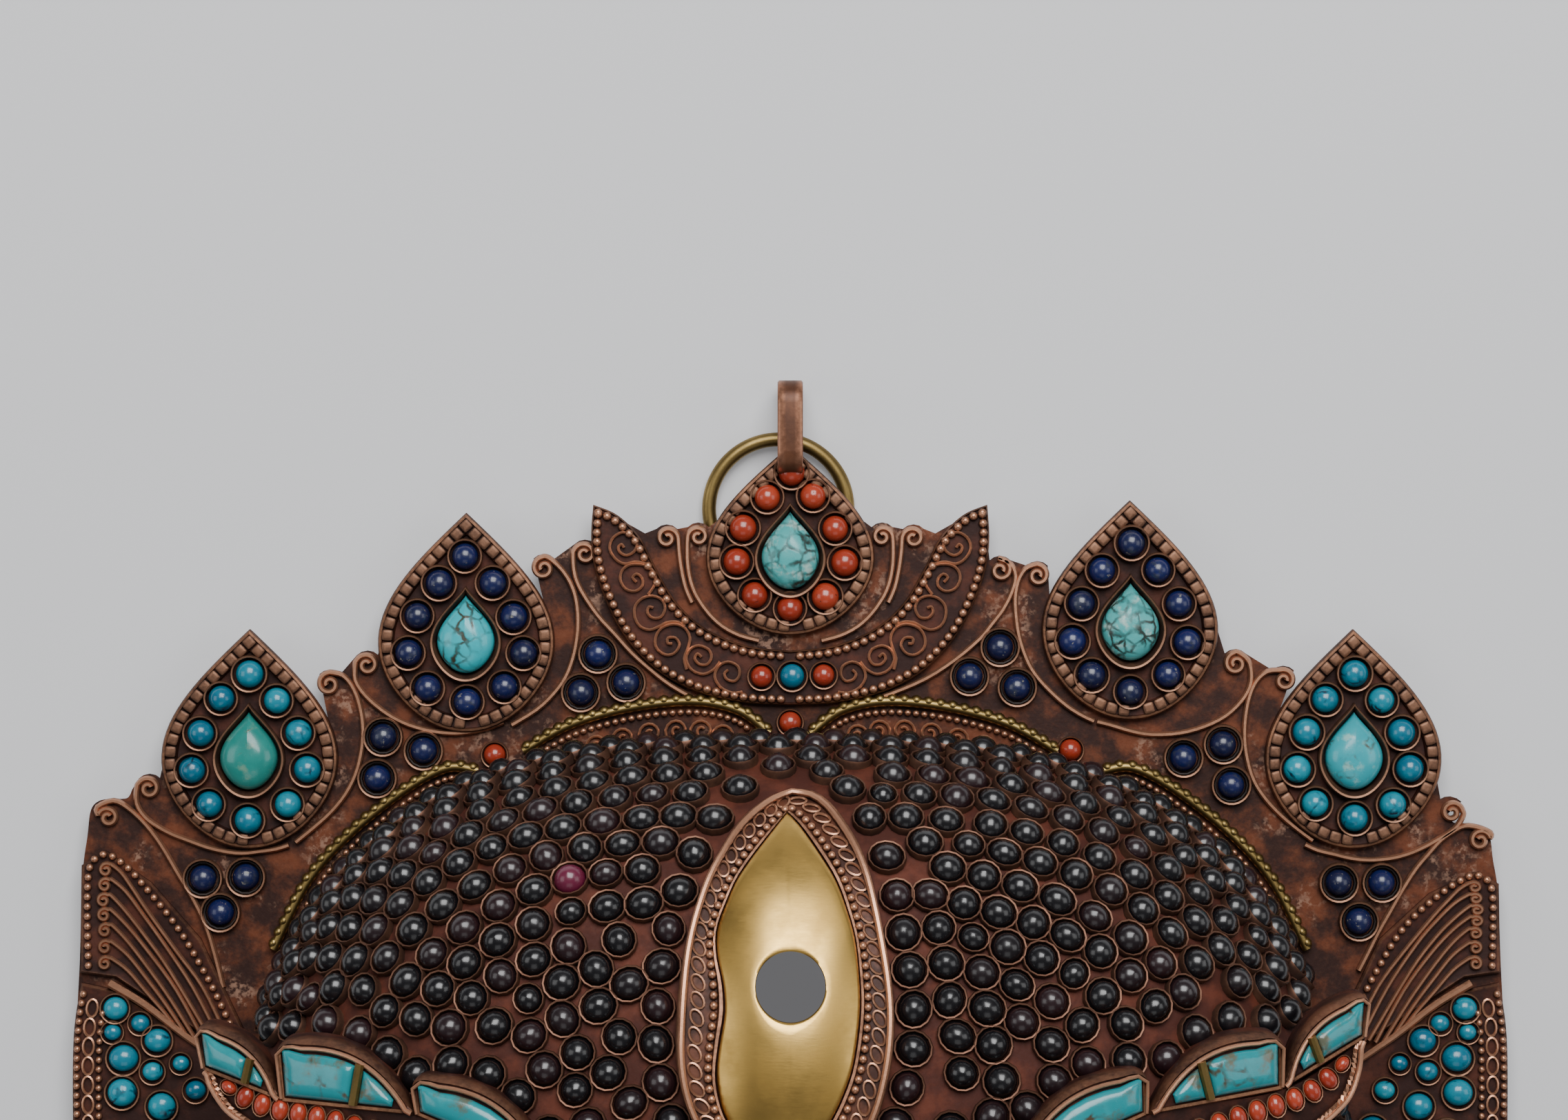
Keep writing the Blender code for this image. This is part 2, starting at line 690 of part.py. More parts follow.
def brows():
    """Two brows of copper flames, with one turquoise slab on the face of each flame."""
    for side, word in ((-1, "left"), (1, "right")):
        outline = flame_outline(BROW_TIPS, BROW_NOTCHES, BROW_BACK, side, BROW_BULGE, BROW_ROOT)
        draped_piece("brow_" + word, outline, brow_back, brow_surface, copper(), 12 * MM)
        starts = [BROW_ROOT[-1], *BROW_NOTCHES, BROW_BACK[0]]
        for number, (start, tip, end) in enumerate(zip(starts, BROW_TIPS, starts[1:]), 1):
            draped_piece(
                f"brow_turquoise_{word}_{number}",
                mirrored(on_face(flame_slab(start, tip, end)), side),
                lambda x, y: brow_surface(x, y) + STONE_GAP,
                lambda x, y: brow_surface(x, y) + STONE_GAP + INLAY_HEIGHT,
                turquoise(),
                20 * MM,
            )


def flame_slab(start, tip, end):
    """The inlay of one flame, inside the flame's rim, in millimetres."""
    upper, lower = [], []
    rim = min(SLAB_FROM_EDGE / MM, math.dist(start, tip) / 8)
    for share in (0.28, 0.48, 0.7, 0.94):
        edge = Vector(flame_edge(start, tip, BROW_BULGE, share))
        band = Vector(start).lerp(Vector(end), share)
        across = (band - edge).normalized()
        upper.append(edge + across * rim)
        lower.append(band - across * (SLAB_FROM_BAND / MM))
    return [tuple(point) for point in [*upper, lower[3], lower[1], lower[0]]]


def lip_line(grow):
    """The outline of the mouth, grown outwards, or inwards below zero."""
    middle = FACE_CENTRE_Y - MOUTH_DROP
    points = []
    for step in range(EYE_SIDES):
        angle = 2 * math.pi * step / EYE_SIDES
        x = (MOUTH_HALF_WIDTH + grow) * math.cos(angle)
        rise = MOUTH_SMILE * min(1.0, (x / MOUTH_HALF_WIDTH) ** 2)
        points.append((x, middle + rise + (MOUTH_HALF_HEIGHT + grow) * math.sin(angle)))
    return points


def mouth():
    """Lips round the open mouth, and two rows of teeth with fangs."""
    middle = FACE_CENTRE_Y - MOUTH_DROP
    inner, outer = lip_line(1.5 * MM), lip_line(1.5 * MM + LIP_WIDTH)

    def lip_front(x, y):
        reach = mouth_reach(x, y)
        return bedded_height(x, y) + LEAST_BODY + LIP_HEIGHT * bump(reach - 1.32, 0, 0.22, 1)

    rows = rows_between(inner, outer, 2)
    lips = grid_solid_mesh("lips", rows, True, bedded_height, lip_front)
    object_of("lips", lips, copper())

    def gum_line(x, way):
        share = x / MOUTH_HALF_WIDTH
        reach = MOUTH_HALF_HEIGHT * math.sqrt(1 - share**2) - 1 * MM
        return middle + MOUTH_SMILE * share**2 + way * reach

    for word, way in (("upper", 1), ("lower", -1)):
        gum = []
        tip_line = []
        half = TOOTH_ROW * MOUTH_HALF_WIDTH
        pitch = 2 * half / TOOTH_COUNT
        for tooth in range(TOOTH_COUNT):
            fang = tooth in ((1, TOOTH_COUNT - 2) if way > 0 else (0, TOOTH_COUNT - 1))
            length = TOOTH_LENGTH + (FANG_EXTRA if fang else 0.0)
            left = -half + tooth * pitch
            for share in (0.04, 0.25 if not fang else 0.42, 0.75 if not fang else 0.58, 0.96):
                x = left + share * pitch
                between = share in (0.04, 0.96)
                tip_line.append((x, gum_line(x, way) - way * (TOOTH_ROOT if between else length)))
            gum.append((left + pitch / 2, gum_line(left + pitch / 2, way)))
        gum = [(-half, gum_line(half, way)), *gum, (half, gum_line(half, way))]
        draped_piece(
            "teeth_" + word,
            gum + tip_line[::-1],
            bedded_height,
            lambda x, y: bedded_height(x, y) + TOOTH_HEIGHT,
            shell_white(),
            12 * MM,
        )


def whiskers():
    """Flames of the moustache beside the nose and of the beard along the jaw."""

    def front(x, y):
        return face_height(x, y) + FLAME_BODY

    for side, word in ((-1, "left"), (1, "right")):
        moustache = flame_outline(MOUSTACHE_TIPS, MOUSTACHE_NOTCHES, MOUSTACHE_BACK, side, WHISKER_BULGE)
        draped_piece("moustache_" + word, moustache, bedded_height, front, copper())
        beard = flame_outline(BEARD_TIPS, BEARD_NOTCHES, BEARD_BACK, side, WHISKER_BULGE)
        draped_piece("beard_" + word, beard, bedded_height, front, copper())


# The crown and the wings


def sheet_outline():
    """The horseshoe of crown sheet: over the leaves, down the wings and back along the face."""
    half = []
    for side in (1, -1):
        run = []
        places = [p for p in LEAF_PLACES if (p[0] * side > 0)]
        places = sorted(places, key=lambda p: abs(p[0]))
        run += mirrored(millimetres(VALLEYS[:1]), side)
        horn = CRESCENT_HORN
        run += mirrored(millimetres([(horn[0] - 7, horn[1] - 8), (horn[0] - 1.2, horn[1] - 3)]), side)
        run += mirrored(millimetres(VALLEYS[1:2]), side)
        for place, valley in zip(places, VALLEYS[2:]):
            run += leaf_backing(place, side, LEAF_WIDTH, LEAF_HEIGHT)
            run += mirrored(millimetres([valley]), side)
        corner = millimetres([WING_CORNER])[0]
        edge = [corner, (WING_HALF_WIDTH - SHEET_INSET, corner[1] - 8 * MM)]
        edge += [(x - SHEET_INSET, y) for x, y in millimetres(EAR_SIDE)]
        run += mirrored(edge, side)
        half.append(run)
    centre = leaf_backing(LEAF_PLACES[CENTRE_LEAF], 1, CENTRE_LEAF_WIDTH, CENTRE_LEAF_HEIGHT)
    limit = BAIL_TOP - BAIL_HEIGHT - 2 * SHEET_INSET
    centre = [(x, y) for x, y in centre if y < limit]
    spokes = range(-EAR_SPOKES, FACE_SPOKES // 2 + EAR_SPOKES + 1)
    inside = [outline_point(2 * math.pi * spoke / FACE_SPOKES, SHEET_FIT) for spoke in spokes]
    return [*half[1][::-1], *centre, *half[0], *inside]


def leaf_backing(place, side, width, height):
    """The top of the sheet behind a leaf, inside the leaf's own edge, from the datum outwards."""
    centre = (place[0] * MM, place[1] * MM - height / 2)
    drop = teardrop(width - 2 * SHEET_INSET, height - 2 * SHEET_INSET, 20, centre)
    upper = [*drop[4:0:-1], drop[0], *drop[-1:-5:-1]]
    ordered = sorted(upper, key=lambda point: point[0])
    left_to_right = [(x, y) for x, y in ordered]
    return left_to_right if side > 0 else left_to_right[::-1]


def crown_sheet():
    """The flat sheet that carries the crown and the wings, with the lapis trios and the corals."""
    plate = prism_mesh("crown_sheet", sheet_outline(), SHEET_LIFT, SHEET_TOP)
    sheet = object_of("crown_sheet", plate, copper())
    trios = []
    for x, y, turn in LEFT_TRIOS + RIGHT_TRIOS:
        for bead in range(3):
            angle = math.radians(turn + 120 * bead)
            trios.append((x * MM + TRIO_RADIUS * math.cos(angle), y * MM + TRIO_RADIUS * math.sin(angle)))
    add_studs(sheet, trios, TRIO_BEAD_DIAMETER, BEAD_SIDES, SHEET_TOP, BEAD_HEIGHT)
    hairline = []
    for x in CORALS:
        share = (abs(x * MM) / FACE_HALF_WIDTH) ** FOREHEAD_SQUARENESS
        reach = FOREHEAD_LENGTH * (1 - share) ** (1 / FOREHEAD_SQUARENESS) + CORAL_OUTSIDE
        hairline.append((x * MM, FACE_CENTRE_Y + reach))
    low, high = SHEET_TOP - BEAD_ROOT, SHEET_TOP + BEAD_HEIGHT
    studs = studs_mesh("coral_studs", hairline, CORAL_DIAMETER, BEAD_SIDES, low, high)
    add_boolean(sheet, helper("coral_studs", studs), "UNION")


def crown_leaves():
    """Five leaves, each with a ring of beads round one drop of turquoise."""
    for index, (x, tip) in enumerate(LEAF_PLACES):
        central = index == CENTRE_LEAF
        width = CENTRE_LEAF_WIDTH if central else LEAF_WIDTH
        height = CENTRE_LEAF_HEIGHT if central else LEAF_HEIGHT
        scale = width / LEAF_WIDTH
        centre = (x * MM, tip * MM - height / 2)
        name = f"crown_leaf_{index + 1}"
        face = PANEL_BASE + LEAF_THICKNESS
        outline = teardrop(width, height, LEAF_SIDES, centre)
        leaf = object_of(name, prism_mesh(name, outline, PANEL_BASE, face), copper())
        ring_centre = (centre[0], centre[1] - BEAD_RING_SHIFT)
        path = teardrop(BEAD_RING_WIDTH * scale, BEAD_RING_LENGTH * scale, 120, ring_centre)
        beads = evenly_along(path, BEADS_PER_LEAF)
        add_studs(leaf, beads, BEAD_DIAMETER * scale, BEAD_SIDES, face, BEAD_HEIGHT)
        drop_centre = (centre[0], tip * MM - DROP_BELOW_TIP * height)
        rows = drop_rows(drop_centre)
        low = face + STONE_GAP

        def dome(px, py, middle=drop_centre, low=low):
            reach = math.hypot((px - middle[0]) / (DROP_WIDTH / 2), (py - middle[1]) / (DROP_LENGTH / 2))
            return low + DROP_HEIGHT * math.sqrt(max(0.12, 1 - 0.8 * reach**2))

        mesh = grid_solid_mesh(f"leaf_drop_{index + 1}", rows, False, lambda px, py, low=low: low, dome)
        object_of(f"leaf_drop_{index + 1}", mesh, turquoise())


def drop_rows(centre):
    """Rows across a drop stone, from its tip to its round end."""
    outline = teardrop(DROP_WIDTH, DROP_LENGTH, DROP_SIDES, centre)
    rows = []
    for step in range(1, DROP_SIDES // 2):
        left, right = outline[step], outline[-step]
        rows.append([(left[0] + (right[0] - left[0]) * s, left[1]) for s in (0, 0.25, 0.5, 0.75, 1)])
    return rows


def crescent():
    """The crescent that cups the central leaf, with three small beads at its middle."""
    centre = CRESCENT_CENTRE
    outer, inner = [], []
    for step in range(CRESCENT_STEPS):
        angle = math.pi * (1 + (step + 0.4) / (CRESCENT_STEPS - 0.2))
        outer.append((CRESCENT_HALF_WIDTH * math.cos(angle), centre + CRESCENT_DEPTH * math.sin(angle)))
        inner.append(
            (
                (CRESCENT_HALF_WIDTH - CRESCENT_BAND) * math.cos(angle),
                centre + (CRESCENT_DEPTH - CRESCENT_BAND) * math.sin(angle),
            )
        )
    horn = millimetres([CRESCENT_HORN])[0]
    outline = [(-horn[0], horn[1]), *outer, horn, *inner[::-1]]
    face = PANEL_BASE + CRESCENT_THICKNESS
    mesh = prism_mesh("crescent", outline, PANEL_BASE, face)
    made = object_of("crescent", mesh, copper())
    add_studs(made, millimetres(CRESCENT_BEADS), CRESCENT_BEAD_DIAMETER, BEAD_SIDES, face, BEAD_HEIGHT)
    return made


def hairline_arches():
    """Four brass wires that arch over the forehead."""
    height = PANEL_BASE + ARCH_WIRE / 2
    for side, word in ((-1, "left"), (1, "right")):
        for points, place in ((INNER_ARCH, "inner"), (OUTER_ARCH, "outer")):
            run = [(x, y, height) for x, y in mirrored(millimetres(points), side)]
            wire(f"hairline_wire_{place}_{word}", smooth_run(run, 2), ARCH_WIRE, brass())


def wings():
    """The fan beside each temple and the studded ear panel under it."""
    for side, word in ((-1, "left"), (1, "right")):
        fan = mirrored(millimetres(FAN_LOWER_EDGE + FAN_UPPER_EDGE), side)
        name = "wing_fan_" + word
        object_of(name, prism_mesh(name, fan, PANEL_BASE, PANEL_BASE + FAN_THICKNESS), copper())
        outline = ear_outline()
        face = PANEL_BASE + EAR_THICKNESS
        name = "ear_panel_" + word
        panel = object_of(name, prism_mesh(name, mirrored(outline, side), PANEL_BASE, face), copper())
        add_studs(panel, mirrored(ear_studs(outline), side), STUD_DIAMETER, STUD_SIDES, face, BEAD_HEIGHT)


def ear_outline():
    """Outline of the right ear panel, which follows the face on its inner side."""
    top, bottom = EAR_TOP[-1][1] * MM, EAR_SIDE[-1][1] * MM
    inner = []
    for step in range(EAR_INNER_STEPS):
        y = bottom + (top - bottom) * (step + 0.5) / EAR_INNER_STEPS
        inner.append((outline_half_width(y, EAR_FIT), y))
    return [*millimetres(EAR_SIDE), *inner, *millimetres(EAR_TOP[::-1])]


def inside(point, outline):
    """Whether a point lies in an outline."""
    found = False
    for (x0, y0), (x1, y1) in zip(outline, [*outline[1:], outline[0]]):
        if (y0 > point[1]) != (y1 > point[1]) and point[0] < (x1 - x0) * (point[1] - y0) / (y1 - y0) + x0:
            found = not found
    return found


def edge_distance(point, outline):
    """Distance from a point to the nearest side of an outline."""
    nearest = math.inf
    place = Vector(point)
    for start, end in zip(outline, [*outline[1:], outline[0]]):
        a, b = Vector(start), Vector(end)
        share = max(0.0, min(1.0, (place - a).dot(b - a) / (b - a).length_squared))
        nearest = min(nearest, (place - a - (b - a) * share).length)
    return nearest


def ear_studs(outline):
    """Staggered rows of studs in the field of the ear panel."""
    found = []
    row_step = STUD_PITCH * 0.9
    top = max(y for _, y in outline)
    right = WING_HALF_WIDTH - STUD_BORDER - STUD_DIAMETER / 2
    for row in range(16):
        y = top - STUD_DIAMETER - row * row_step
        for column in range(5):
            point = (right - STUD_PITCH * (column + 0.5 * (row % 2)), y)
            if inside(point, outline) and edge_distance(point, outline) > STUD_DIAMETER * 0.62:
                found.append(point)
    return found


# The hanging bail and its ring


def bail_outline(inset):
    """Section of the bail in height and depth, with round corners, inset from its outer side."""
    top, bottom = BAIL_TOP - inset, BAIL_TOP - BAIL_HEIGHT + inset
    back, front = inset, BAIL_DEPTH - inset
    radius = BAIL_ROUND - inset
    corners = (
        (top - radius, front - radius, 0),
        (top - radius, back + radius, 270),
        (bottom + radius, back + radius, 180),
        (bottom + radius, front - radius, 90),
    )
    points = []
    for y, z, start in corners:
        for step in range(4):
            angle = math.radians(start + 90 - 30 * step)
            points.append((y + radius * math.cos(angle), z + radius * math.sin(angle)))
    return points


def bail():
    """A loop of copper strap through the tip of the central leaf."""
    outer, inner = bail_outline(0.0), bail_outline(BAIL_STRAP)
    count = len(outer)
    vertices = []
    for x in (-BAIL_WIDTH / 2, BAIL_WIDTH / 2):
        vertices += [(x, y, z) for y, z in outer]
        vertices += [(x, y, z) for y, z in inner]
    faces = []
    for i in range(count):
        j = (i + 1) % count
        faces.append((i, j, count + j, count + i))
        faces.append((2 * count + i, 3 * count + i, 3 * count + j, 2 * count + j))
        faces.append((i, 2 * count + i, 2 * count + j, j))
        faces.append((count + i, count + j, 3 * count + j, 3 * count + i))
    object_of("hanging_bail", mesh_of("hanging_bail", vertices, faces), copper())


def bail_slot(leaf):
    """The slot that the bail passes through, near the tip of the central leaf."""
    half = BAIL_WIDTH / 2 + BAIL_SLOT_FIT
    low = BAIL_TOP - BAIL_HEIGHT - BAIL_SLOT_FIT
    high = BAIL_TOP - BAIL_HEIGHT + BAIL_STRAP + BAIL_SLOT_FIT
    outline = [(-half, low), (half, low), (half, high), (-half, high)]
    cutter = helper("bail_slot", prism_mesh("bail_slot", outline, -0.001, 0.02))
    add_boolean(leaf, cutter, "DIFFERENCE")


def hanging_ring():
    """The brass ring in the bail, leaning from the bail to the floor behind the crown."""
    radius = RING_DIAMETER / 2
    centre = millimetres([RING_CENTRE])[0]
    low_end = RING_WIRE / 2
    high_end = BAIL_STRAP + STONE_GAP + RING_WIRE / 2
    points = []
    for step in range(RING_SIDES):
        angle = 2 * math.pi * step / RING_SIDES
        height = low_end + (high_end - low_end) * (1 + math.sin(angle)) / 2
        x, y = centre[0] + radius * math.cos(angle), centre[1] + radius * math.sin(angle)
        points.append((x, y, height))
    wire("hanging_ring", points, RING_WIRE, brass(), 1, True)


def main():
    for old in list(bpy.data.objects):
        bpy.data.objects.remove(old)
    axes = bpy.data.objects.new("mask_axes", None)
    bpy.context.scene.collection.objects.link(axes)
    axes.location = (0, MASK_SHIFT, 0)
    face_shell()
    eyes()
    nose()
    brows()
    mouth()
    whiskers()
    crown_sheet()
    crown_leaves()
    crescent()
    hairline_arches()
    wings()
    bail()
    bail_slot(bpy.data.objects[f"crown_leaf_{CENTRE_LEAF + 1}"])
    hanging_ring()


main()
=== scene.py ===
"""Looks of the copper ritual mask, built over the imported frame.

Sizes are in millimetres about the crown datum, the middle of the central crown stone, with +Z out
of the face and +Y towards the crown. Mesh draughts carry them into the frame's metres.
"""

from __future__ import annotations

import json
import logging
import math
import random
from dataclasses import dataclass
from enum import Enum
from itertools import accumulate, product
from typing import Callable, Iterable, Sequence

import bmesh
import bpy
from mathutils import Matrix, Vector
from mathutils.geometry import tessellate_polygon

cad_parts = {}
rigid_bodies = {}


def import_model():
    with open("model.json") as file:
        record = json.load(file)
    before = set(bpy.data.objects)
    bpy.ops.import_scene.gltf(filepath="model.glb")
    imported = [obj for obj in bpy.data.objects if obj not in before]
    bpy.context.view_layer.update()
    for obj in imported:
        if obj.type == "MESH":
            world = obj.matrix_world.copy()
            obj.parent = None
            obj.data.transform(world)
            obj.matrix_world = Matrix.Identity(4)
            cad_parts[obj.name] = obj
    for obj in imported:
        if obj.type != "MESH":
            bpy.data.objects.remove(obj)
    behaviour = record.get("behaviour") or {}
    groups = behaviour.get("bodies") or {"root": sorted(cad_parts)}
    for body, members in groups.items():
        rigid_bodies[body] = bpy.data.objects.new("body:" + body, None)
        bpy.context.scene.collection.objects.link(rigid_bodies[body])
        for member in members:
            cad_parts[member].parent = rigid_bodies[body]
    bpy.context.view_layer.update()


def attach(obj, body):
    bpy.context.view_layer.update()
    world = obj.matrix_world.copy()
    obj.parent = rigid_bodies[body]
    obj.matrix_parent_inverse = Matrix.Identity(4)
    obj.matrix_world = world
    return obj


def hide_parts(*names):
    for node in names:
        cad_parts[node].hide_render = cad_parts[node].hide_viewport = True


MM = 0.001
DATUM_Y = 131.2
Point = tuple[float, float, float]
Plan = tuple[float, float]
Height = Callable[[float, float], float]
FLAT = (0.0, 0.0, 1.0)
LOG = logging.getLogger("mask")


# Shaders


class Tone:
    """A value socket whose operators add Math nodes to its tree."""

    def __init__(self, shader: "Shader", socket: bpy.types.NodeSocket | float) -> None:
        """Wraps one output socket of a shader's tree."""
        self.shader = shader
        self.socket = socket

    def _math(self, operation: str, first: object, second: object) -> "Tone":
        """Adds one Math node over two values and gives its output."""
        return self.shader.node("ShaderNodeMath", {"operation": operation}, {0: first, 1: second})

    def __add__(self, other: object) -> "Tone":
        """This value plus another."""
        return self._math("ADD", self, other)

    __radd__ = __add__

    def __sub__(self, other: object) -> "Tone":
        """This value less another."""
        return self._math("SUBTRACT", self, other)

    def __rsub__(self, other: object) -> "Tone":
        """Another value less this one."""
        return self._math("SUBTRACT", other, self)

    def __mul__(self, other: object) -> "Tone":
        """This value times another."""
        return self._math("MULTIPLY", self, other)

    def between(self, low: float, high: float) -> "Tone":
        """A smooth 0 to 1 rise of this value from low to high."""
        settings = {"interpolation_type": "SMOOTHSTEP", "clamp": True}
        return self.shader.node("ShaderNodeMapRange", settings, {0: self, 1: low, 2: high})


class Shader:
    """One material under construction on Object coordinates."""

    def __init__(self, name: str) -> None:
        """Starts a material with a Principled BSDF and its coordinates.

        Args:
            name: The material's name.
        """
        self.material = bpy.data.materials.new(name)
        self.material.use_nodes = True
        self.tree = self.material.node_tree
        self.surface = self.tree.nodes["Principled BSDF"]
        self.place = self.node("ShaderNodeTexCoord", {}, {}, "Object")

    def node(self, kind: str, settings: dict, inputs: dict, output: int | str = 0) -> Tone:
        """Adds a node.

        Args:
            kind: The node's type.
            settings: Properties, set before the sockets.
            inputs: Values or tones by socket name or number.
            output: The output socket that is wanted.

        Returns:
            The wanted output.
        """
        made = self.tree.nodes.new(kind)
        for key, value in settings.items():
            setattr(made, key, value)
        for key, value in inputs.items():
            if isinstance(value, Tone):
                self.tree.links.new(value.socket, made.inputs[key])
            else:
                made.inputs[key].default_value = value
        return Tone(self, made.outputs[output])

    def noise(self, size_mm: float, detail: float = 4.0, vector: Tone | None = None) -> Tone:
        """Noise with features of one size.

        Args:
            size_mm: Size of the largest features.
            detail: Octaves.
            vector: Coordinates, or the object's own.

        Returns:
            A value about 0.5.
        """
        inputs = {"Vector": vector or self.place, "Scale": 1 / (size_mm * MM), "Detail": detail, "Roughness": 0.6}
        return self.node("ShaderNodeTexNoise", {"noise_dimensions": "3D"}, inputs, 0)

    def attribute(self, name: str) -> Tone:
        """A number that the mesh carries."""
        return self.node("ShaderNodeAttribute", {"attribute_name": name}, {}, "Fac")

    def mix(self, share: Tone | float, first: object, second: object) -> Tone:
        """Mixes two colours.

        Args:
            share: How much of the second.
            first: A colour or its socket.
            second: A colour or its socket.

        Returns:
            The mixed colour.
        """
        inputs = {0: share}
        for socket, colour in ((6, first), (7, second)):
            inputs[socket] = colour if isinstance(colour, Tone) else (*colour, 1.0)
        settings = {"data_type": "RGBA", "blend_type": "MIX", "clamp_factor": True}
        return self.node("ShaderNodeMix", settings, inputs, 2)

    def bump(self, height: Tone, depth_mm: float, strength: float = 1.0) -> Tone:
        """A bumped normal from a height of 0 to 1."""
        inputs = {"Height": height, "Distance": depth_mm * MM, "Strength": strength}
        return self.node("ShaderNodeBump", {}, inputs, "Normal")

    def finish(self, **sockets: object) -> bpy.types.Material:
        """Feeds the Principled BSDF.

        Args:
            **sockets: Socket names with _ for a space, and their values or tones.

        Returns:
            The finished material.
        """
        for key, value in sockets.items():
            socket = self.surface.inputs[key.replace("_", " ")]
            if isinstance(value, Tone):
                self.tree.links.new(value.socket, socket)
            else:
                socket.default_value = (*value, 1.0) if isinstance(value, tuple) else value
        return self.material


@dataclass(frozen=True)
class CopperFinish:
    """Copper under a patina, rubbed bright where the wear attribute is high."""

    name: str
    patina: tuple = (0.066, 0.021, 0.013)
    rust: tuple = (0.20, 0.062, 0.022)
    bright: tuple = (0.46, 0.22, 0.135)
    haze: tuple = (0.30, 0.235, 0.20)
    haze_share: float = 0.0
    rub: float = 0.8
    rough: float = 0.42
    mottle_mm: float = 7.0
    bump_mm: float = 0.12

    def material(self) -> bpy.types.Material:
        """Builds the material."""
        sheet = Shader(self.name)
        wear = sheet.attribute("wear")
        broad, fine = sheet.noise(self.mottle_mm, 6.0), sheet.noise(0.9, 3.0)
        colour = sheet.mix(broad.between(0.42, 0.66), self.patina, self.rust)
        if self.haze_share > 0:
            clouds, flecks = sheet.noise(self.mottle_mm * 1.6, 8.0), sheet.noise(1.3, 6.0)
            low = 0.62 - 0.2 * self.haze_share
            colour = sheet.mix(clouds.between(low, low + 0.12) * flecks.between(0.46, 0.62) * 0.9, colour, self.haze)
        rubbed = (wear * self.rub) * (fine * 0.7 + broad * 0.7)
        colour = sheet.mix(rubbed.between(0.12, 0.68), colour, self.bright)
        return sheet.finish(
            Base_Color=colour,
            Metallic=rubbed.between(0.05, 0.5) * 0.6 + 0.2,
            Roughness=(0.16 + self.rough) - rubbed * 0.2 + (fine - 0.5) * 0.25,
            Specular_IOR_Level=0.3,
            Normal=sheet.bump(fine * 0.6 + broad * 0.4, self.bump_mm, 0.6),
        )


@dataclass(frozen=True)
class BrassFinish:
    """Brass, brushed along one direction or drawn dull as wire."""

    name: str
    bright: tuple = (0.80, 0.62, 0.29)
    dull: tuple = (0.42, 0.31, 0.11)
    dull_share: float = 0.35
    rough: float = 0.26
    brushed: bool = True

    def material(self) -> bpy.types.Material:
        """Builds the material."""
        sheet = Shader(self.name)
        stretch = (0.18, 1.0, 0.35) if self.brushed else (1.0, 1.0, 1.0)
        vector = sheet.node("ShaderNodeMapping", {}, {"Vector": sheet.place, "Scale": stretch})
        streaks = sheet.noise(0.35, 2.0, vector)
        stains = sheet.noise(9.0, 6.0)
        stain = stains.between(0.62 - self.dull_share, 0.78)
        colour = sheet.mix(stain * (0.25 + self.dull_share), self.bright, self.dull)
        colour = sheet.mix(streaks.between(0.35, 0.75) * 0.12, colour, self.dull)
        return sheet.finish(
            Base_Color=colour,
            Metallic=1.0,
            Roughness=stain * 0.14 + self.rough + streaks * 0.08,
            Normal=sheet.bump(streaks, 0.02, 0.35),
        )


@dataclass(frozen=True)
class StoneFinish:
    """A polished opaque stone, with veins or flecks and a tint for each stone."""

    name: str
    first: tuple
    second: tuple
    vein: tuple = (0.05, 0.03, 0.015)
    vein_share: float = 0.0
    vein_mm: float = 3.2
    cloud: tuple = (0.5, 0.5, 0.45)
    cloud_share: float = 0.0
    cloud_mm: float = 2.6
    rough: float = 0.24
    pits: float = 0.0

    def material(self) -> bpy.types.Material:
        """Builds the material."""
        sheet = Shader(self.name)
        tint = sheet.attribute("tint")
        broad, fine = sheet.noise(self.cloud_mm, 5.0), sheet.noise(0.7, 3.0)
        colour = sheet.mix(tint * 0.7 + (broad - 0.5) * 0.9, self.first, self.second)
        rough = self.rough + (fine - 0.5) * 0.2
        relief = fine * 0.4
        if self.cloud_share > 0:
            edge = 0.74 - 0.3 * self.cloud_share
            patches = sheet.noise(self.cloud_mm * 1.3, 7.0, self.shifted(sheet))
            colour = sheet.mix(patches.between(edge, edge + 0.16) * 0.85, colour, self.cloud)
        if self.vein_share > 0:
            bend = sheet.node("ShaderNodeTexNoise", {}, {"Vector": sheet.place, "Scale": 420.0, "Detail": 3.0}, 1)
            warp = sheet.node(
                "ShaderNodeVectorMath", {"operation": "MULTIPLY_ADD"}, {0: bend, 1: (0.0016,) * 3, 2: sheet.place}
            )
            inputs = {"Vector": warp, "Scale": 1 / (self.vein_mm * MM)}
            web = sheet.node("ShaderNodeTexVoronoi", {"feature": "DISTANCE_TO_EDGE"}, inputs)
            patch = sheet.noise(6.0, 3.0, self.shifted(sheet)).between(0.62 - 0.35 * self.vein_share, 0.72)
            line = (1 - web.between(0.02, 0.07 + 0.08 * self.vein_share)) * patch
            colour = sheet.mix(line * 1.25, colour, self.vein)
            rough = rough + line * 0.25
            relief = relief - line * 0.8
        if self.pits > 0:
            holes = sheet.noise(1.1, 2.0).between(0.66, 0.74)
            colour = sheet.mix(holes * self.pits, colour, self.vein)
            relief = relief - holes * self.pits
            rough = rough + holes * 0.3
        return sheet.finish(
            Base_Color=colour, Roughness=rough, Coat_Weight=0.35, Coat_Roughness=0.12,
            Normal=sheet.bump(relief, 0.1, 0.5)
        )

    @staticmethod
    def shifted(sheet: Shader) -> Tone:
        """Coordinates moved away, so that two noises differ."""
        return sheet.node("ShaderNodeMapping", {}, {"Vector": sheet.place, "Location": (0.13, 0.07, 0.31)})


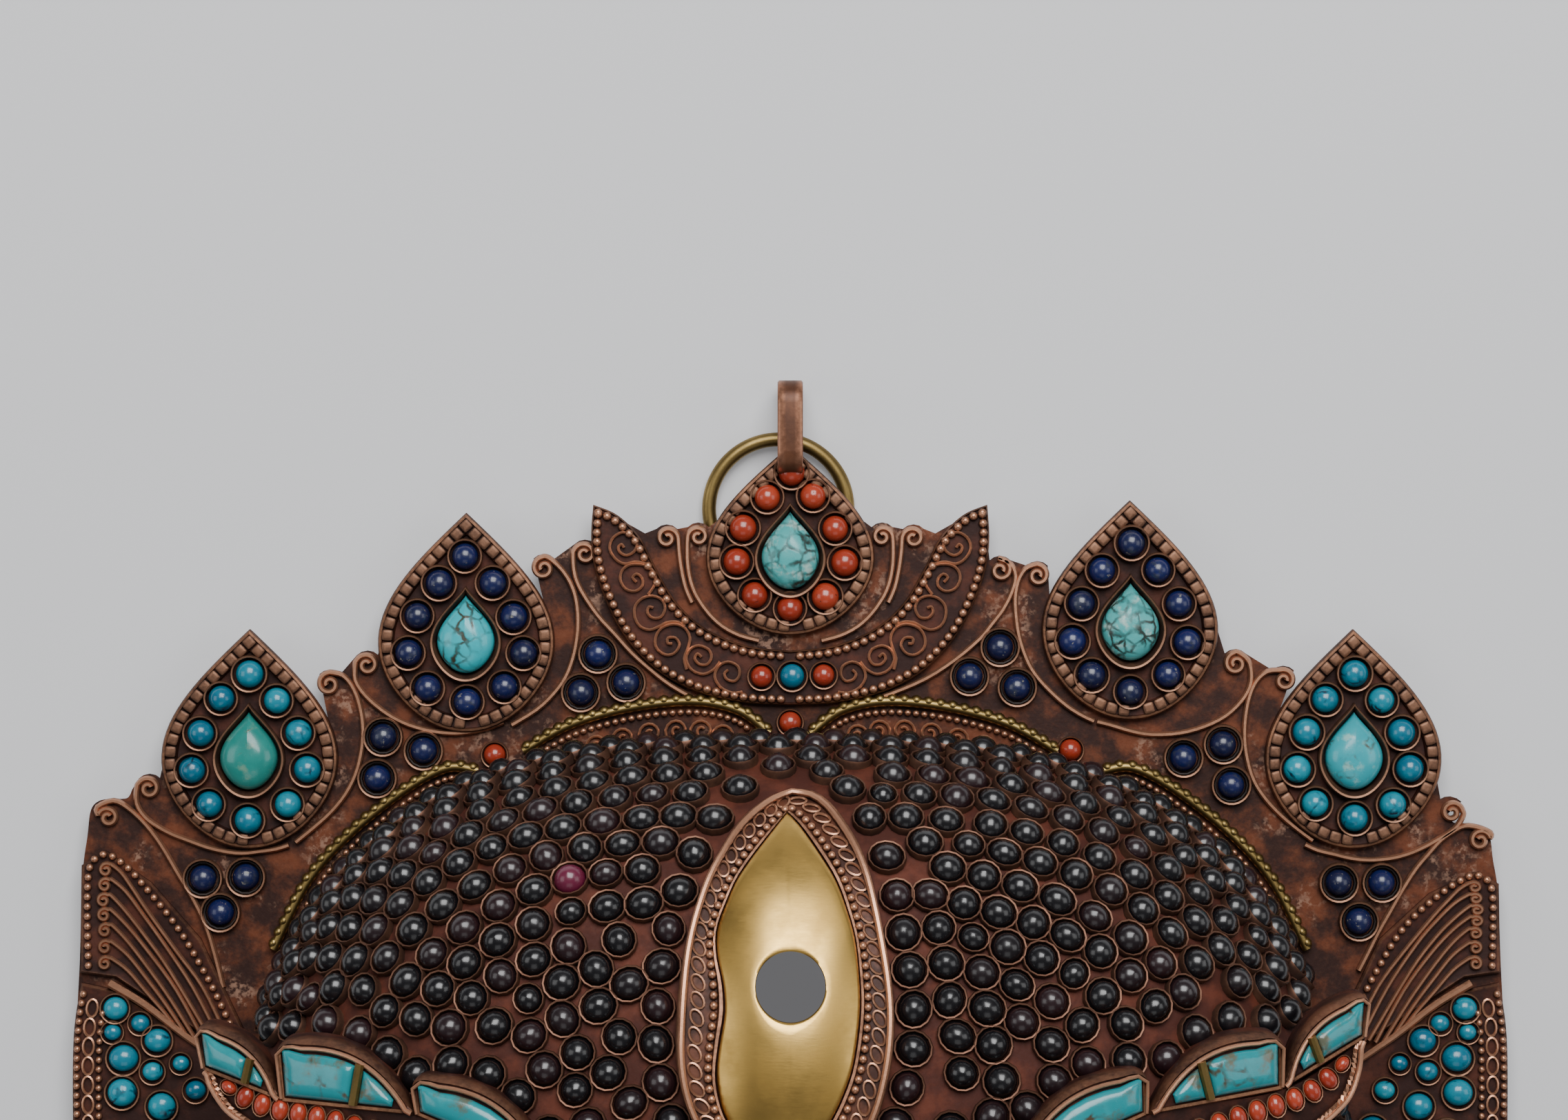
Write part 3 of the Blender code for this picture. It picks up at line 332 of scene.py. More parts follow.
@dataclass(frozen=True)
class GarnetFinish:
    """Nearly black garnet, with a few stones of clear red or purple."""

    name: str = "garnet"

    def material(self) -> bpy.types.Material:
        """Builds the material."""
        sheet = Shader(self.name)
        tint = sheet.attribute("tint")
        fine = sheet.noise(1.6, 4.0)
        colour = sheet.mix(tint.between(0.6, 0.97), (0.0055, 0.0050, 0.0065), (0.017, 0.006, 0.008))
        colour = sheet.mix(tint.between(0.993, 0.998), colour, (0.12, 0.010, 0.035))
        return sheet.finish(
            Base_Color=colour,
            Roughness=fine * 0.2 + 0.16 + tint * 0.06,
            Coat_Weight=0.5,
            Coat_Roughness=0.17,
            Normal=sheet.bump(fine, 0.08, 0.35),
        )


class Finish(Enum):
    """The finishes of the mask."""

    SHEET = CopperFinish(
        "crown copper", patina=(0.024, 0.0065, 0.004), rust=(0.125, 0.031, 0.010), haze=(0.27, 0.15, 0.10),
        haze_share=0.55, rub=0.7,
    )
    GROUND = CopperFinish(
        "face copper", patina=(0.060, 0.015, 0.009), rust=(0.115, 0.029, 0.015), rough=0.55, rub=0.5
    )
    PANEL = CopperFinish(
        "panel copper", patina=(0.026, 0.0075, 0.005), rust=(0.078, 0.021, 0.011), bright=(0.36, 0.18, 0.10)
    )
    WIRE = CopperFinish(
        "copper wire", patina=(0.045, 0.016, 0.010), rust=(0.14, 0.050, 0.027), bright=(0.50, 0.25, 0.15),
        rub=1.2, rough=0.34, bump_mm=0.05,
    )
    CUP = CopperFinish(
        "copper cups", patina=(0.030, 0.013, 0.009), rust=(0.10, 0.045, 0.024), bright=(0.235, 0.12, 0.073),
        rub=1.0, bump_mm=0.05,
    )
    DULL_CUP = CopperFinish(
        "dull cups", patina=(0.040, 0.018, 0.012), rust=(0.10, 0.045, 0.026), bright=(0.16, 0.078, 0.05), rub=0.8,
        bump_mm=0.05,
    )
    PITCH = CopperFinish("blackened copper", patina=(0.010, 0.006, 0.005), rust=(0.024, 0.013, 0.010), rub=0.0)
    BAIL = CopperFinish(
        "bail copper", patina=(0.070, 0.026, 0.013), rust=(0.13, 0.050, 0.024), rub=0.75, rough=0.28,
        mottle_mm=12.0, bump_mm=0.05,
    )
    PLATE = BrassFinish("eye brass", bright=(0.72, 0.46, 0.13), dull=(0.34, 0.20, 0.045))
    OLIVE = BrassFinish(
        "olive brass wire", bright=(0.40, 0.28, 0.10), dull=(0.085, 0.055, 0.018), dull_share=0.5, rough=0.3,
        brushed=False,
    )
    GARNET = GarnetFinish()
    LAPIS = StoneFinish(
        "lapis", (0.007, 0.010, 0.042), (0.008, 0.016, 0.105), cloud=(0.030, 0.036, 0.060), cloud_share=0.75,
        cloud_mm=1.6, vein=(0.30, 0.28, 0.20), pits=0.5, rough=0.3,
    )
    CORAL = StoneFinish("coral", (0.27, 0.026, 0.012), (0.46, 0.060, 0.026), vein=(0.07, 0.010, 0.006), pits=0.85)
    TURQUOISE = StoneFinish(
        "turquoise beads", (0.003, 0.12, 0.20), (0.009, 0.34, 0.44), vein=(0.004, 0.018, 0.04), vein_share=0.3,
        vein_mm=4.0,
    )
    DROP_GREEN = StoneFinish(
        "green turquoise", (0.010, 0.19, 0.165), (0.040, 0.33, 0.28), cloud=(0.16, 0.30, 0.21), cloud_share=0.7,
        cloud_mm=3.4, vein=(0.11, 0.11, 0.05), vein_share=0.12,
    )
    DROP_BRIGHT = StoneFinish(
        "bright turquoise", (0.008, 0.34, 0.40), (0.035, 0.50, 0.56), cloud=(0.16, 0.56, 0.55), cloud_share=0.35,
        vein=(0.035, 0.040, 0.022), vein_share=0.8, vein_mm=3.4,
    )
    DROP_PALE = StoneFinish(
        "pale turquoise", (0.05, 0.36, 0.36), (0.17, 0.52, 0.50), cloud=(0.42, 0.60, 0.54), cloud_share=0.75,
        vein=(0.016, 0.030, 0.024), vein_share=1.0, vein_mm=3.2,
    )
    DROP_SKY = StoneFinish(
        "sky turquoise", (0.012, 0.30, 0.37), (0.05, 0.44, 0.48), cloud=(0.30, 0.56, 0.52), cloud_share=0.6,
        vein=(0.08, 0.07, 0.04), vein_share=0.35,
    )
    SLAB = StoneFinish(
        "turquoise slabs", (0.010, 0.24, 0.27), (0.06, 0.45, 0.49), cloud=(0.13, 0.095, 0.045), cloud_share=0.74,
        cloud_mm=4.0, vein=(0.055, 0.040, 0.018), vein_share=0.4, vein_mm=5.5,
    )
    SHELL = StoneFinish(
        "conch shell", (0.55, 0.50, 0.40), (0.74, 0.70, 0.60), cloud=(0.40, 0.32, 0.2), cloud_share=0.2, rough=0.3
    )

    def made(self) -> bpy.types.Material:
        """The finish's material, built once."""
        return bpy.data.materials.get(self.value.name) or self.value.material()


SLOTS = {f: "aged_copper" for f in Finish if isinstance(f.value, CopperFinish)}
SLOTS |= {f: "polished_brass" for f in Finish if isinstance(f.value, BrassFinish)}
SLOTS |= {f: "turquoise" for f in Finish if "turquoise" in f.value.name}
SLOTS |= {Finish.CORAL: "coral", Finish.SHELL: "conch_shell"}


# Meshes


class Draft:
    """Vertices and faces in millimetres about the datum, with a wear and a tint for each vertex."""

    def __init__(self) -> None:
        """Starts empty."""
        self.points: list[Point] = []
        self.faces: list[tuple[int, ...]] = []
        self.wear: list[float] = []

    def add(self, points: Iterable[Point], wear: Iterable[float] | float = 0.0) -> int:
        """Adds vertices.

        Args:
            points: Places in millimetres.
            wear: One value for all or one each.

        Returns:
            The number of the first one.
        """
        first = len(self.points)
        self.points += [tuple(p) for p in points]
        count = len(self.points) - first
        self.wear += [wear] * count if isinstance(wear, (int, float)) else list(wear)
        return first

    def skin(
        self, rows: Sequence[Sequence[Point]], wear: Sequence[object] | float = 0.0, closed: bool = False,
        caps: str = ""
    ) -> None:
        """Joins loops of points of one length with faces.

        Args:
            rows: The loops.
            wear: One value, or one for each row.
            closed: Whether the last row joins the first.
            caps: "first", "last" or both words, where a row is filled with one face.
        """
        across = len(rows[0])
        firsts = [self.add(row, wear if isinstance(wear, (int, float)) else wear[i]) for i, row in enumerate(rows)]
        pairs = list(zip(firsts, firsts[1:])) + ([(firsts[-1], firsts[0])] if closed else [])
        for low, high in pairs:
            for i in range(across):
                j = (i + 1) % across
                self.faces.append((low + i, low + j, high + j, high + i))
        for word, first in (("first", firsts[0]), ("last", firsts[-1])):
            if word in caps:
                loop = [Vector(self.points[first + i]) for i in range(across)]
                self.faces += [tuple(first + i for i in corners) for corners in tessellate_polygon([loop])]

    def tube(
        self, path: Sequence[Point], radius: float, sides: int = 8, closed: bool = False, twist: float = 0.0,
        ups: Sequence[Vector] | None = None, squash: float = 1.0, taper: float = 1.0, shine: float = 1.0
    ) -> None:
        """Sweeps a round or square wire along a path.

        Args:
            path: Points of the wire's middle.
            radius: Half its width.
            sides: Sides of its section.
            closed: Whether the wire is a loop.
            twist: Turns of the section in radians for each millimetre.
            ups: The direction away from what carries it, at each point.
            squash: Its height over its width.
            taper: Radius at the last point over the first.
            shine: Wear of the top.
        """
        places = [Vector(p) for p in path]
        count = len(places)
        rows, wears, length = [], [], 0.0
        for i, place in enumerate(places):
            before = places[i - 1] if i or closed else place
            after = places[(i + 1) % count] if i < count - 1 or closed else place
            along = (after - before).normalized()
            up = Vector(ups[i]) if ups else Vector((0, 0, 1))
            side = along.cross(up)
            side = side.normalized() if side.length > 1e-6 else Vector((1, 0, 0))
            top = side.cross(along)
            width = radius * (1 + (taper - 1) * i / max(1, count - 1))
            length += (place - places[i - 1]).length if i else 0.0
            turns = [2 * math.pi * (k + 0.5) / sides + twist * length for k in range(sides)]
            rows.append([place + side * (width * math.cos(a)) + top * (width * squash * math.sin(a)) for a in turns])
            wears.append([shine * max(0.0, 0.35 + 0.65 * math.sin(a)) for a in turns])
        self.skin(rows, wears, closed, "" if closed else "first last")

    def mesh(self, name: str, in_frame: bool = True) -> bpy.types.Mesh:
        """Makes the mesh, with its faces outwards.

        Args:
            name: The mesh's name.
            in_frame: Whether the points go into the frame's metres. A shape for repeating doesn't.

        Returns:
            The mesh.
        """
        shift = DATUM_Y if in_frame else 0.0
        made = bpy.data.meshes.new(name)
        made.from_pydata([(x * MM, (y + shift) * MM, z * MM) for x, y, z in self.points], [], self.faces)
        made.attributes.new("wear", "FLOAT", "POINT").data.foreach_set("value", self.wear)
        sides = bmesh.new()
        sides.from_mesh(made)
        bmesh.ops.remove_doubles(sides, verts=sides.verts, dist=0.000001)
        bmesh.ops.dissolve_degenerate(sides, edges=sides.edges, dist=0.0000005)
        bmesh.ops.recalc_face_normals(sides, faces=sides.faces)
        sides.to_mesh(made)
        sides.free()
        return made

    def piece(self, name: str, finish: Finish, replaces: Sequence[str] = (), angle: float = 42.0) -> None:
        """Makes a piece of the draft, as dress does."""
        dress(self.mesh(name), name, finish, replaces, angle)


def placed(name: str, data: bpy.types.ID) -> bpy.types.Object:
    """A new object in the scene."""
    made = bpy.data.objects.new(name, data)
    bpy.context.scene.collection.objects.link(made)
    return made


def settled(holder: bpy.types.Object) -> bpy.types.Mesh:
    """An object's mesh with its modifiers applied."""
    graph = bpy.context.evaluated_depsgraph_get()
    return bpy.data.meshes.new_from_object(holder.evaluated_get(graph), depsgraph=graph)


def dress(
    mesh: bpy.types.Mesh, name: str, finish: Finish, replaces: Sequence[str] = (), angle: float = 42.0
) -> bpy.types.Object:
    """Puts a piece in the scene, in its finish, on the mask.

    Args:
        mesh: Its mesh, in the frame's metres.
        name: Its name.
        finish: Its finish.
        replaces: The CAD nodes that it stands for.
        angle: Edges sharper than this many degrees stay crisp.

    Returns:
        The piece.
    """
    piece = placed(name, mesh)
    mesh.materials.clear()
    mesh.materials.append(finish.made())
    mesh.shade_smooth()
    mesh.set_sharp_from_angle(angle=math.radians(angle))
    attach(piece, "root")
    if replaces:
        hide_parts(*replaces)
    LOG.info("%s: %d faces", name, len(mesh.polygons))
    return piece


def full_turn(count: int) -> list[float]:
    """Evenly spaced angles of one turn."""
    return [2 * math.pi * i / count for i in range(count)]


def polar(centre: Plan, radius: float, angle: float) -> Plan:
    """The point of a circle at an angle."""
    return centre[0] + radius * math.cos(angle), centre[1] + radius * math.sin(angle)


def part_way(start: Plan, end: Plan, share: float) -> Plan:
    """The point at a share of the way between two."""
    return start[0] + (end[0] - start[0]) * share, start[1] + (end[1] - start[1]) * share


def measured(run: Sequence[Sequence[float]]) -> list[float]:
    """The lengths along a run up to each of its points."""
    return [0.0, *accumulate(math.dist(a, b) for a, b in zip(run, run[1:]))]


def at_length(run: Sequence[Sequence[float]], legs: Sequence[float], distance: float) -> tuple:
    """The point at a distance along a run.

    Args:
        run: The run.
        legs: Its lengths, from measured.
        distance: The distance.

    Returns:
        The point.
    """
    for i in range(1, len(legs)):
        if legs[i] >= distance:
            share = (distance - legs[i - 1]) / (legs[i] - legs[i - 1])
            return tuple(Vector(run[i - 1]).lerp(Vector(run[i]), share))
    return run[-1]


def teardrop(width: float, height: float, count: int, centre: Plan = (0.0, 0.0), sharp: float = 0.74) -> list[Plan]:
    """A drop with its tip up, from the tip round.

    Args:
        width: Its greatest width.
        height: Its height.
        count: Points.
        centre: Its middle.
        sharp: How pointed the tip is, from 0.5 round to 1 straight-sided.

    Returns:
        The outline.
    """
    bend = math.log(0.5) / math.log(0.59)
    points = []
    for turn in full_turn(count):
        share = (1 - math.cos(turn)) / 2
        power = sharp + (0.5 - sharp) * share
        reach = max(0.0, math.sin(math.pi * share**bend)) ** power
        side = -1 if turn < math.pi else 1
        points.append((centre[0] + side * width / 2 * reach, centre[1] + height / 2 * math.cos(turn)))
    return points


def offset(outline: Sequence[Plan], distance: float) -> list[Plan]:
    """An outline moved outwards by a distance, or inwards below zero."""
    area = sum(a[0] * b[1] - b[0] * a[1] for a, b in zip(outline, [*outline[1:], outline[0]]))
    way = 1 if area > 0 else -1
    found = []
    for i, place in enumerate(outline):
        before, after = outline[i - 1], outline[(i + 1) % len(outline)]
        first = Vector((place[0] - before[0], place[1] - before[1])).normalized()
        second = Vector((after[0] - place[0], after[1] - place[1])).normalized()
        normal = Vector((first.y + second.y, -first.x - second.x))
        normal = normal.normalized() if normal.length > 1e-6 else Vector((first.y, -first.x))
        reach = min(1.8, 1 / max(0.3, normal.dot(Vector((first.y, -first.x)))))
        found.append((place[0] + way * distance * reach * normal.x, place[1] + way * distance * reach * normal.y))
    return found


def smooth_run(points: Sequence[Sequence[float]], spans: int = 6, closed: bool = False) -> list[tuple]:
    """A smooth curve through points.

    Args:
        points: Points it passes.
        spans: Steps between two of them.
        closed: Whether it is a loop.

    Returns:
        The curve's points.
    """
    count = len(points)
    padded = [points[-1], *points, points[0], points[1]] if closed else [points[0], *points, points[-1]]
    run = []
    for i in range(1, count + 1 if closed else count):
        before, start, end, after = (Vector(p) for p in padded[i - 1 : i + 3])
        for step in range(spans):
            t = step / spans
            place = 2 * start + (end - before) * t + (2 * before - 5 * start + 4 * end - after) * t**2
            run.append(tuple((place + (3 * start - before - 3 * end + after) * t**3) / 2))
    return run if closed else [*run, tuple(points[-1])]


def evenly(
    path: Sequence[Sequence[float]], pitch: float, closed: bool = False, phase: float = 0.5
) -> list[tuple[tuple, Vector]]:
    """Places at an even pitch along a path, with its direction there.

    Args:
        path: The path.
        pitch: Wanted distance, eased so that a whole number fits.
        closed: Whether the path is a loop.
        phase: Where the first place is, in pitches.

    Returns:
        Pairs of place and direction.
    """
    route = [*path, path[0]] if closed else list(path)
    legs = [math.dist(a, b) for a, b in zip(route, route[1:])]
    count = max(1, round(sum(legs) / pitch))
    step = sum(legs) / count
    found, leg, before = [], 0, 0.0
    for number in range(count):
        target = (number + phase) * step
        while leg < len(legs) - 1 and before + legs[leg] < target:
            before += legs[leg]
            leg += 1
        share = (target - before) / max(1e-9, legs[leg])
        start, end = Vector(route[leg]), Vector(route[leg + 1])
        found.append((tuple(start.lerp(end, share)), (end - start).normalized()))
    return found


def spiral(centre: Plan, radius: float, start: float, turns: float, inner: float = 0.22, steps: int = 22) -> list[Plan]:
    """A wire curl, from its open end at the radius inwards.

    Args:
        centre: Its middle.
        radius: Its outer radius.
        start: Direction of its open end in degrees.
        turns: Its turns, below zero clockwise.
        inner: Inner radius over outer.
        steps: Points.

    Returns:
        The curl.
    """
    points = []
    for i in range(steps + 1):
        share = i / steps
        angle = math.radians(start) + 2 * math.pi * turns * share
        reach = radius * (1 - (1 - inner) * share**0.85)
        points.append(polar(centre, reach, angle))
    return points


def lifted(points: Iterable[Plan], height: Height | float) -> list[Point]:
    """Plan points at a height or on a surface."""
    return [(x, y, height if isinstance(height, (int, float)) else height(x, y)) for x, y in points]


def inside(point: Plan, outline: Sequence[Plan]) -> bool:
    """Whether a point lies in an outline."""
    found = False
    for (x0, y0), (x1, y1) in zip(outline, [*outline[1:], outline[0]]):
        if (y0 > point[1]) != (y1 > point[1]) and point[0] < (x1 - x0) * (point[1] - y0) / (y1 - y0) + x0:
            found = not found
    return found


def edge_distance(point: Plan, outline: Sequence[Plan]) -> float:
    """Distance from a point to the nearest side of an outline."""
    px, py = point
    nearest = math.inf
    for (x0, y0), (x1, y1) in zip(outline, [*outline[1:], outline[0]]):
        dx, dy = x1 - x0, y1 - y0
        share = max(0.0, min(1.0, ((px - x0) * dx + (py - y0) * dy) / max(1e-12, dx * dx + dy * dy)))
        nearest = min(nearest, math.hypot(px - x0 - share * dx, py - y0 - share * dy))
    return nearest


def step_up(low: float, high: float, value: float) -> float:
    """0 below low, 1 above high and a smooth rise between."""
    share = min(1.0, max(0.0, (value - low) / (high - low)))
    return share * share * (3 - 2 * share)


def bump(x: float, y: float, x_spread: float, y_spread: float) -> float:
    """A rounded hill of height 1."""
    return math.exp(-((x / x_spread) ** 2) - (y / y_spread) ** 2)


# Repeated shapes


class Shape(Enum):
    """Small shapes that Geometry Nodes repeat, each of about unit radius."""

    PEARL = "pearl"
    SQUARE_BEAD = "square bead"
    CUP = "cup"
    FINE_CUP = "fine cup"
    CABOCHON = "cabochon"
    FINE_CABOCHON = "fine cabochon"
    LINK = "link"

    def draft(self) -> Draft:
        """Models the shape in unit size."""
        made = Draft()
        if self in (Shape.PEARL, Shape.SQUARE_BEAD):
            power = 1.0 if self is Shape.PEARL else 0.36
            sides = 8 if self is Shape.PEARL else 12
            rows = [self._ellipsoid_row(lat, sides, power) for lat in (-80, -35, 0, 35, 62, 84)]
            top = 1.0 if self is Shape.PEARL else 0.72
            made.skin(rows, [0, 0, 0.1, 0.5 * top, 0.9 * top, top], caps="first last")
        elif self in (Shape.CUP, Shape.FINE_CUP):
            sides = 14 if self is Shape.CUP else 26
            profile = (
                (0.90, -0.1, 0.0), (1.0, -0.1, 0.0), (1.03, 0.26, 0.5), (0.98, 0.40, 1.0), (0.90, 0.38, 0.95),
                (0.86, 0.15, 0.0)
            )
            rows = [[(r * math.cos(a), r * math.sin(a), z) for a in full_turn(sides)] for r, z, _ in profile]
            made.skin(rows, [w for _, _, w in profile], closed=True)
        elif self in (Shape.CABOCHON, Shape.FINE_CABOCHON):
            sides, levels = (14, 5) if self is Shape.CABOCHON else (26, 9)
            rows = []
            for level in range(levels):
                angle = math.radians(88) * level / (levels - 1)
                reach, height = math.cos(angle) ** 0.9, math.sin(angle)
                rows.append([(reach * math.cos(a), reach * math.sin(a), height) for a in full_turn(sides)])
            made.skin([[(x, y, -0.25) for x, y, _ in rows[0]], *rows], 0.5, caps="first last")
        else:
            ring = [(math.cos(a), 0.62 * math.sin(a), 0.0) for a in full_turn(14)]
            made.tube(ring, 0.17, 5, True)
        return made

    @staticmethod
    def _ellipsoid_row(latitude: float, sides: int, power: float) -> list[Point]:
        """One row of a ball, squared where the power is below 1."""
        lat = math.radians(latitude)
        flat = math.cos(lat) ** (power if power < 1 else 1)
        row = []
        for turn in full_turn(sides):
            c, s = math.cos(turn), math.sin(turn)
            x, y = math.copysign(abs(c) ** power, c), math.copysign(abs(s) ** power, s)
            row.append((flat * x, flat * y, math.copysign(abs(math.sin(lat)) ** power, math.sin(lat))))
        return row

    def guide(self) -> bpy.types.Object:
        """The shape's object, made once and kept out of the model."""
        name = "guide_" + self.name.lower()
        found = bpy.data.objects.get(name)
        if found is None:
            found = placed(name, self.draft().mesh(name, in_frame=False))
        return found


@dataclass
class Spot:
    """Where one repeated shape goes, in millimetres."""

    at: Point
    size: tuple = (1.0, 1.0, 1.0)
    facing: tuple = (0.0, 0.0, 1.0)
    along: tuple = (1.0, 0.0, 0.0)
    tint: float = 0.5

    def turn(self) -> tuple:
        """Euler angles that set the shape's Z outwards and its X along."""
        up = Vector(self.facing).normalized()
        side = up.cross(Vector(self.along))
        side = side.normalized() if side.length > 1e-6 else up.orthogonal().normalized()
        return tuple(Matrix((side.cross(up), side, up)).transposed().to_euler())


def strung(
    path: Sequence[Point], pitch: float, size: tuple, closed: bool = False, phase: float = 0.5,
    facing: Callable[[float, float], Sequence[float]] = lambda x, y: FLAT,
) -> list[Spot]:
    """Beads of one size along a path.

    Args:
        path: The path.
        pitch: The distance between two beads.
        size: A bead's size.
        closed: Whether the path is a loop.
        phase: Where the first bead is, in pitches.
        facing: The direction away from what carries the beads.

    Returns:
        The beads' places.
    """
    found = evenly(path, pitch, closed, phase)
    return [Spot(at, size, tuple(facing(at[0], at[1])), tuple(along)) for at, along in found]


class ScatterTree:
    """A Geometry Nodes tree that sets one shape on every point of a mesh."""

    def __init__(self) -> None:
        """Builds the tree with its named inputs."""
        self.group = bpy.data.node_groups.new("set shapes on points", "GeometryNodeTree")
        face = self.group.interface
        face.new_socket("Points", in_out="INPUT", socket_type="NodeSocketGeometry")
        self.inputs = {}
        for label, kind in (
            ("Shape", "NodeSocketObject"), ("Size", "NodeSocketFloat"), ("Finish", "NodeSocketMaterial")
        ):
            self.inputs[label] = face.new_socket(label, in_out="INPUT", socket_type=kind).identifier
        face.new_socket("Pieces", in_out="OUTPUT", socket_type="NodeSocketGeometry")
        entry = self.group.nodes.new("NodeGroupInput")
        shape = self._node(
            "GeometryNodeObjectInfo", {"transform_space": "ORIGINAL"}, {"Object": entry.outputs["Shape"]}
        )
        turn = self._node("GeometryNodeInputNamedAttribute", {"data_type": "FLOAT_VECTOR"}, {"Name": "turn"})
        size = self._node("GeometryNodeInputNamedAttribute", {"data_type": "FLOAT_VECTOR"}, {"Name": "size"})
        rotation = self._node("FunctionNodeEulerToRotation", {}, {0: turn.outputs[0]})
        scale = self._node(
            "ShaderNodeVectorMath", {"operation": "SCALE"}, {0: size.outputs[0], "Scale": entry.outputs["Size"]}
        )
        spots = {"Points": entry.outputs["Points"], "Instance": shape.outputs["Geometry"]}
        spots |= {"Rotation": rotation.outputs[0], "Scale": scale.outputs[0]}
        placed = self._node("GeometryNodeInstanceOnPoints", {}, spots)
        real = self._node("GeometryNodeRealizeInstances", {}, {0: placed.outputs[0]})
        dressed = self._node(
            "GeometryNodeSetMaterial", {}, {"Geometry": real.outputs[0], "Material": entry.outputs["Finish"]}
        )
        leave = self.group.nodes.new("NodeGroupOutput")
        self.group.links.new(dressed.outputs[0], leave.inputs[0])

    def _node(self, kind: str, settings: dict, inputs: dict) -> bpy.types.Node:
        """Adds a node with its settings and its values or links."""
        made = self.group.nodes.new(kind)
        for key, value in settings.items():
            setattr(made, key, value)
        for key, value in inputs.items():
            if isinstance(value, bpy.types.NodeSocket):
                self.group.links.new(value, made.inputs[key])
            else:
                made.inputs[key].default_value = value
        return made

    def scatter(
        self, name: str, spots: Sequence[Spot], shape: Shape, finish: Finish, replaces: Sequence[str] = ()
    ) -> bpy.types.Object:
        """Makes one piece of many shapes.

        Args:
            name: The piece's name.
            spots: Where the shapes go.
            shape: The shape.
            finish: Its finish.
            replaces: The CAD nodes that the piece stands for.

        Returns:
            The piece.
        """
        points = bpy.data.meshes.new(name + "_points")
        points.from_pydata([(x * MM, (y + DATUM_Y) * MM, z * MM) for x, y, z in (s.at for s in spots)], [], [])
        turns = points.attributes.new("turn", "FLOAT_VECTOR", "POINT")
        turns.data.foreach_set("vector", [c for s in spots for c in s.turn()])
        sizes = points.attributes.new("size", "FLOAT_VECTOR", "POINT")
        sizes.data.foreach_set("vector", [c for s in spots for c in s.size])
        points.attributes.new("tint", "FLOAT", "POINT").data.foreach_set("value", [s.tint for s in spots])
        holder = placed(name + "_points", points)
        modifier = holder.modifiers.new("set shapes", "NODES")
        modifier.node_group = self.group
        for label, value in (("Shape", shape.guide()), ("Size", 1.0), ("Finish", finish.made())):
            modifier[self.inputs[label]] = value
        mesh = settled(holder)
        mesh.name = name
        for spare in ("turn", "size"):
            if spare in mesh.attributes:
                mesh.attributes.remove(mesh.attributes[spare])
        bpy.data.objects.remove(holder)
        bpy.data.meshes.remove(points)
        return dress(mesh, name, finish, replaces, 50.0)


class Settings:
    """Stones in cups, gathered from crown and wings and set as a few pieces."""

    def __init__(self) -> None:
        """Starts empty."""
        self.cups: list[Spot] = []
        self.stones: dict[Finish, list[Spot]] = {}

    def add(
        self, finish: Finish, foot: Point, cup: Plan, lift: float, stone: Plan, rng: random.Random, narrow: float = 1.0
    ) -> None:
        """Adds a stone in its cup.

        Args:
            finish: The stone's finish.
            foot: The middle of the cup's foot.
            cup: The cup's radius and height.
            lift: How far the stone's foot is over the cup's.
            stone: The stone's radius and height.
            rng: Gives the tints, and the width where the stone isn't round.
            narrow: Its least width over its length.
        """
        self.cups.append(Spot(foot, (cup[0], cup[0], cup[1]), tint=rng.random()))
        share = rng.uniform(narrow, 1.0) if narrow < 1 else 1.0
        size = (stone[0], stone[0] * share, stone[1])
        place = (foot[0], foot[1], foot[2] + lift)
        self.stones.setdefault(finish, []).append(Spot(place, size, tint=rng.random()))

    def build(self, tree: ScatterTree) -> None:
        """Sets the cups as one piece and the stones of each finish as another."""
        tree.scatter("crown_cups", self.cups, Shape.FINE_CUP, Finish.CUP)
        for finish, spots in self.stones.items():
            tree.scatter(finish.name.lower() + "_stones", spots, Shape.FINE_CABOCHON, finish)


# The form of the face


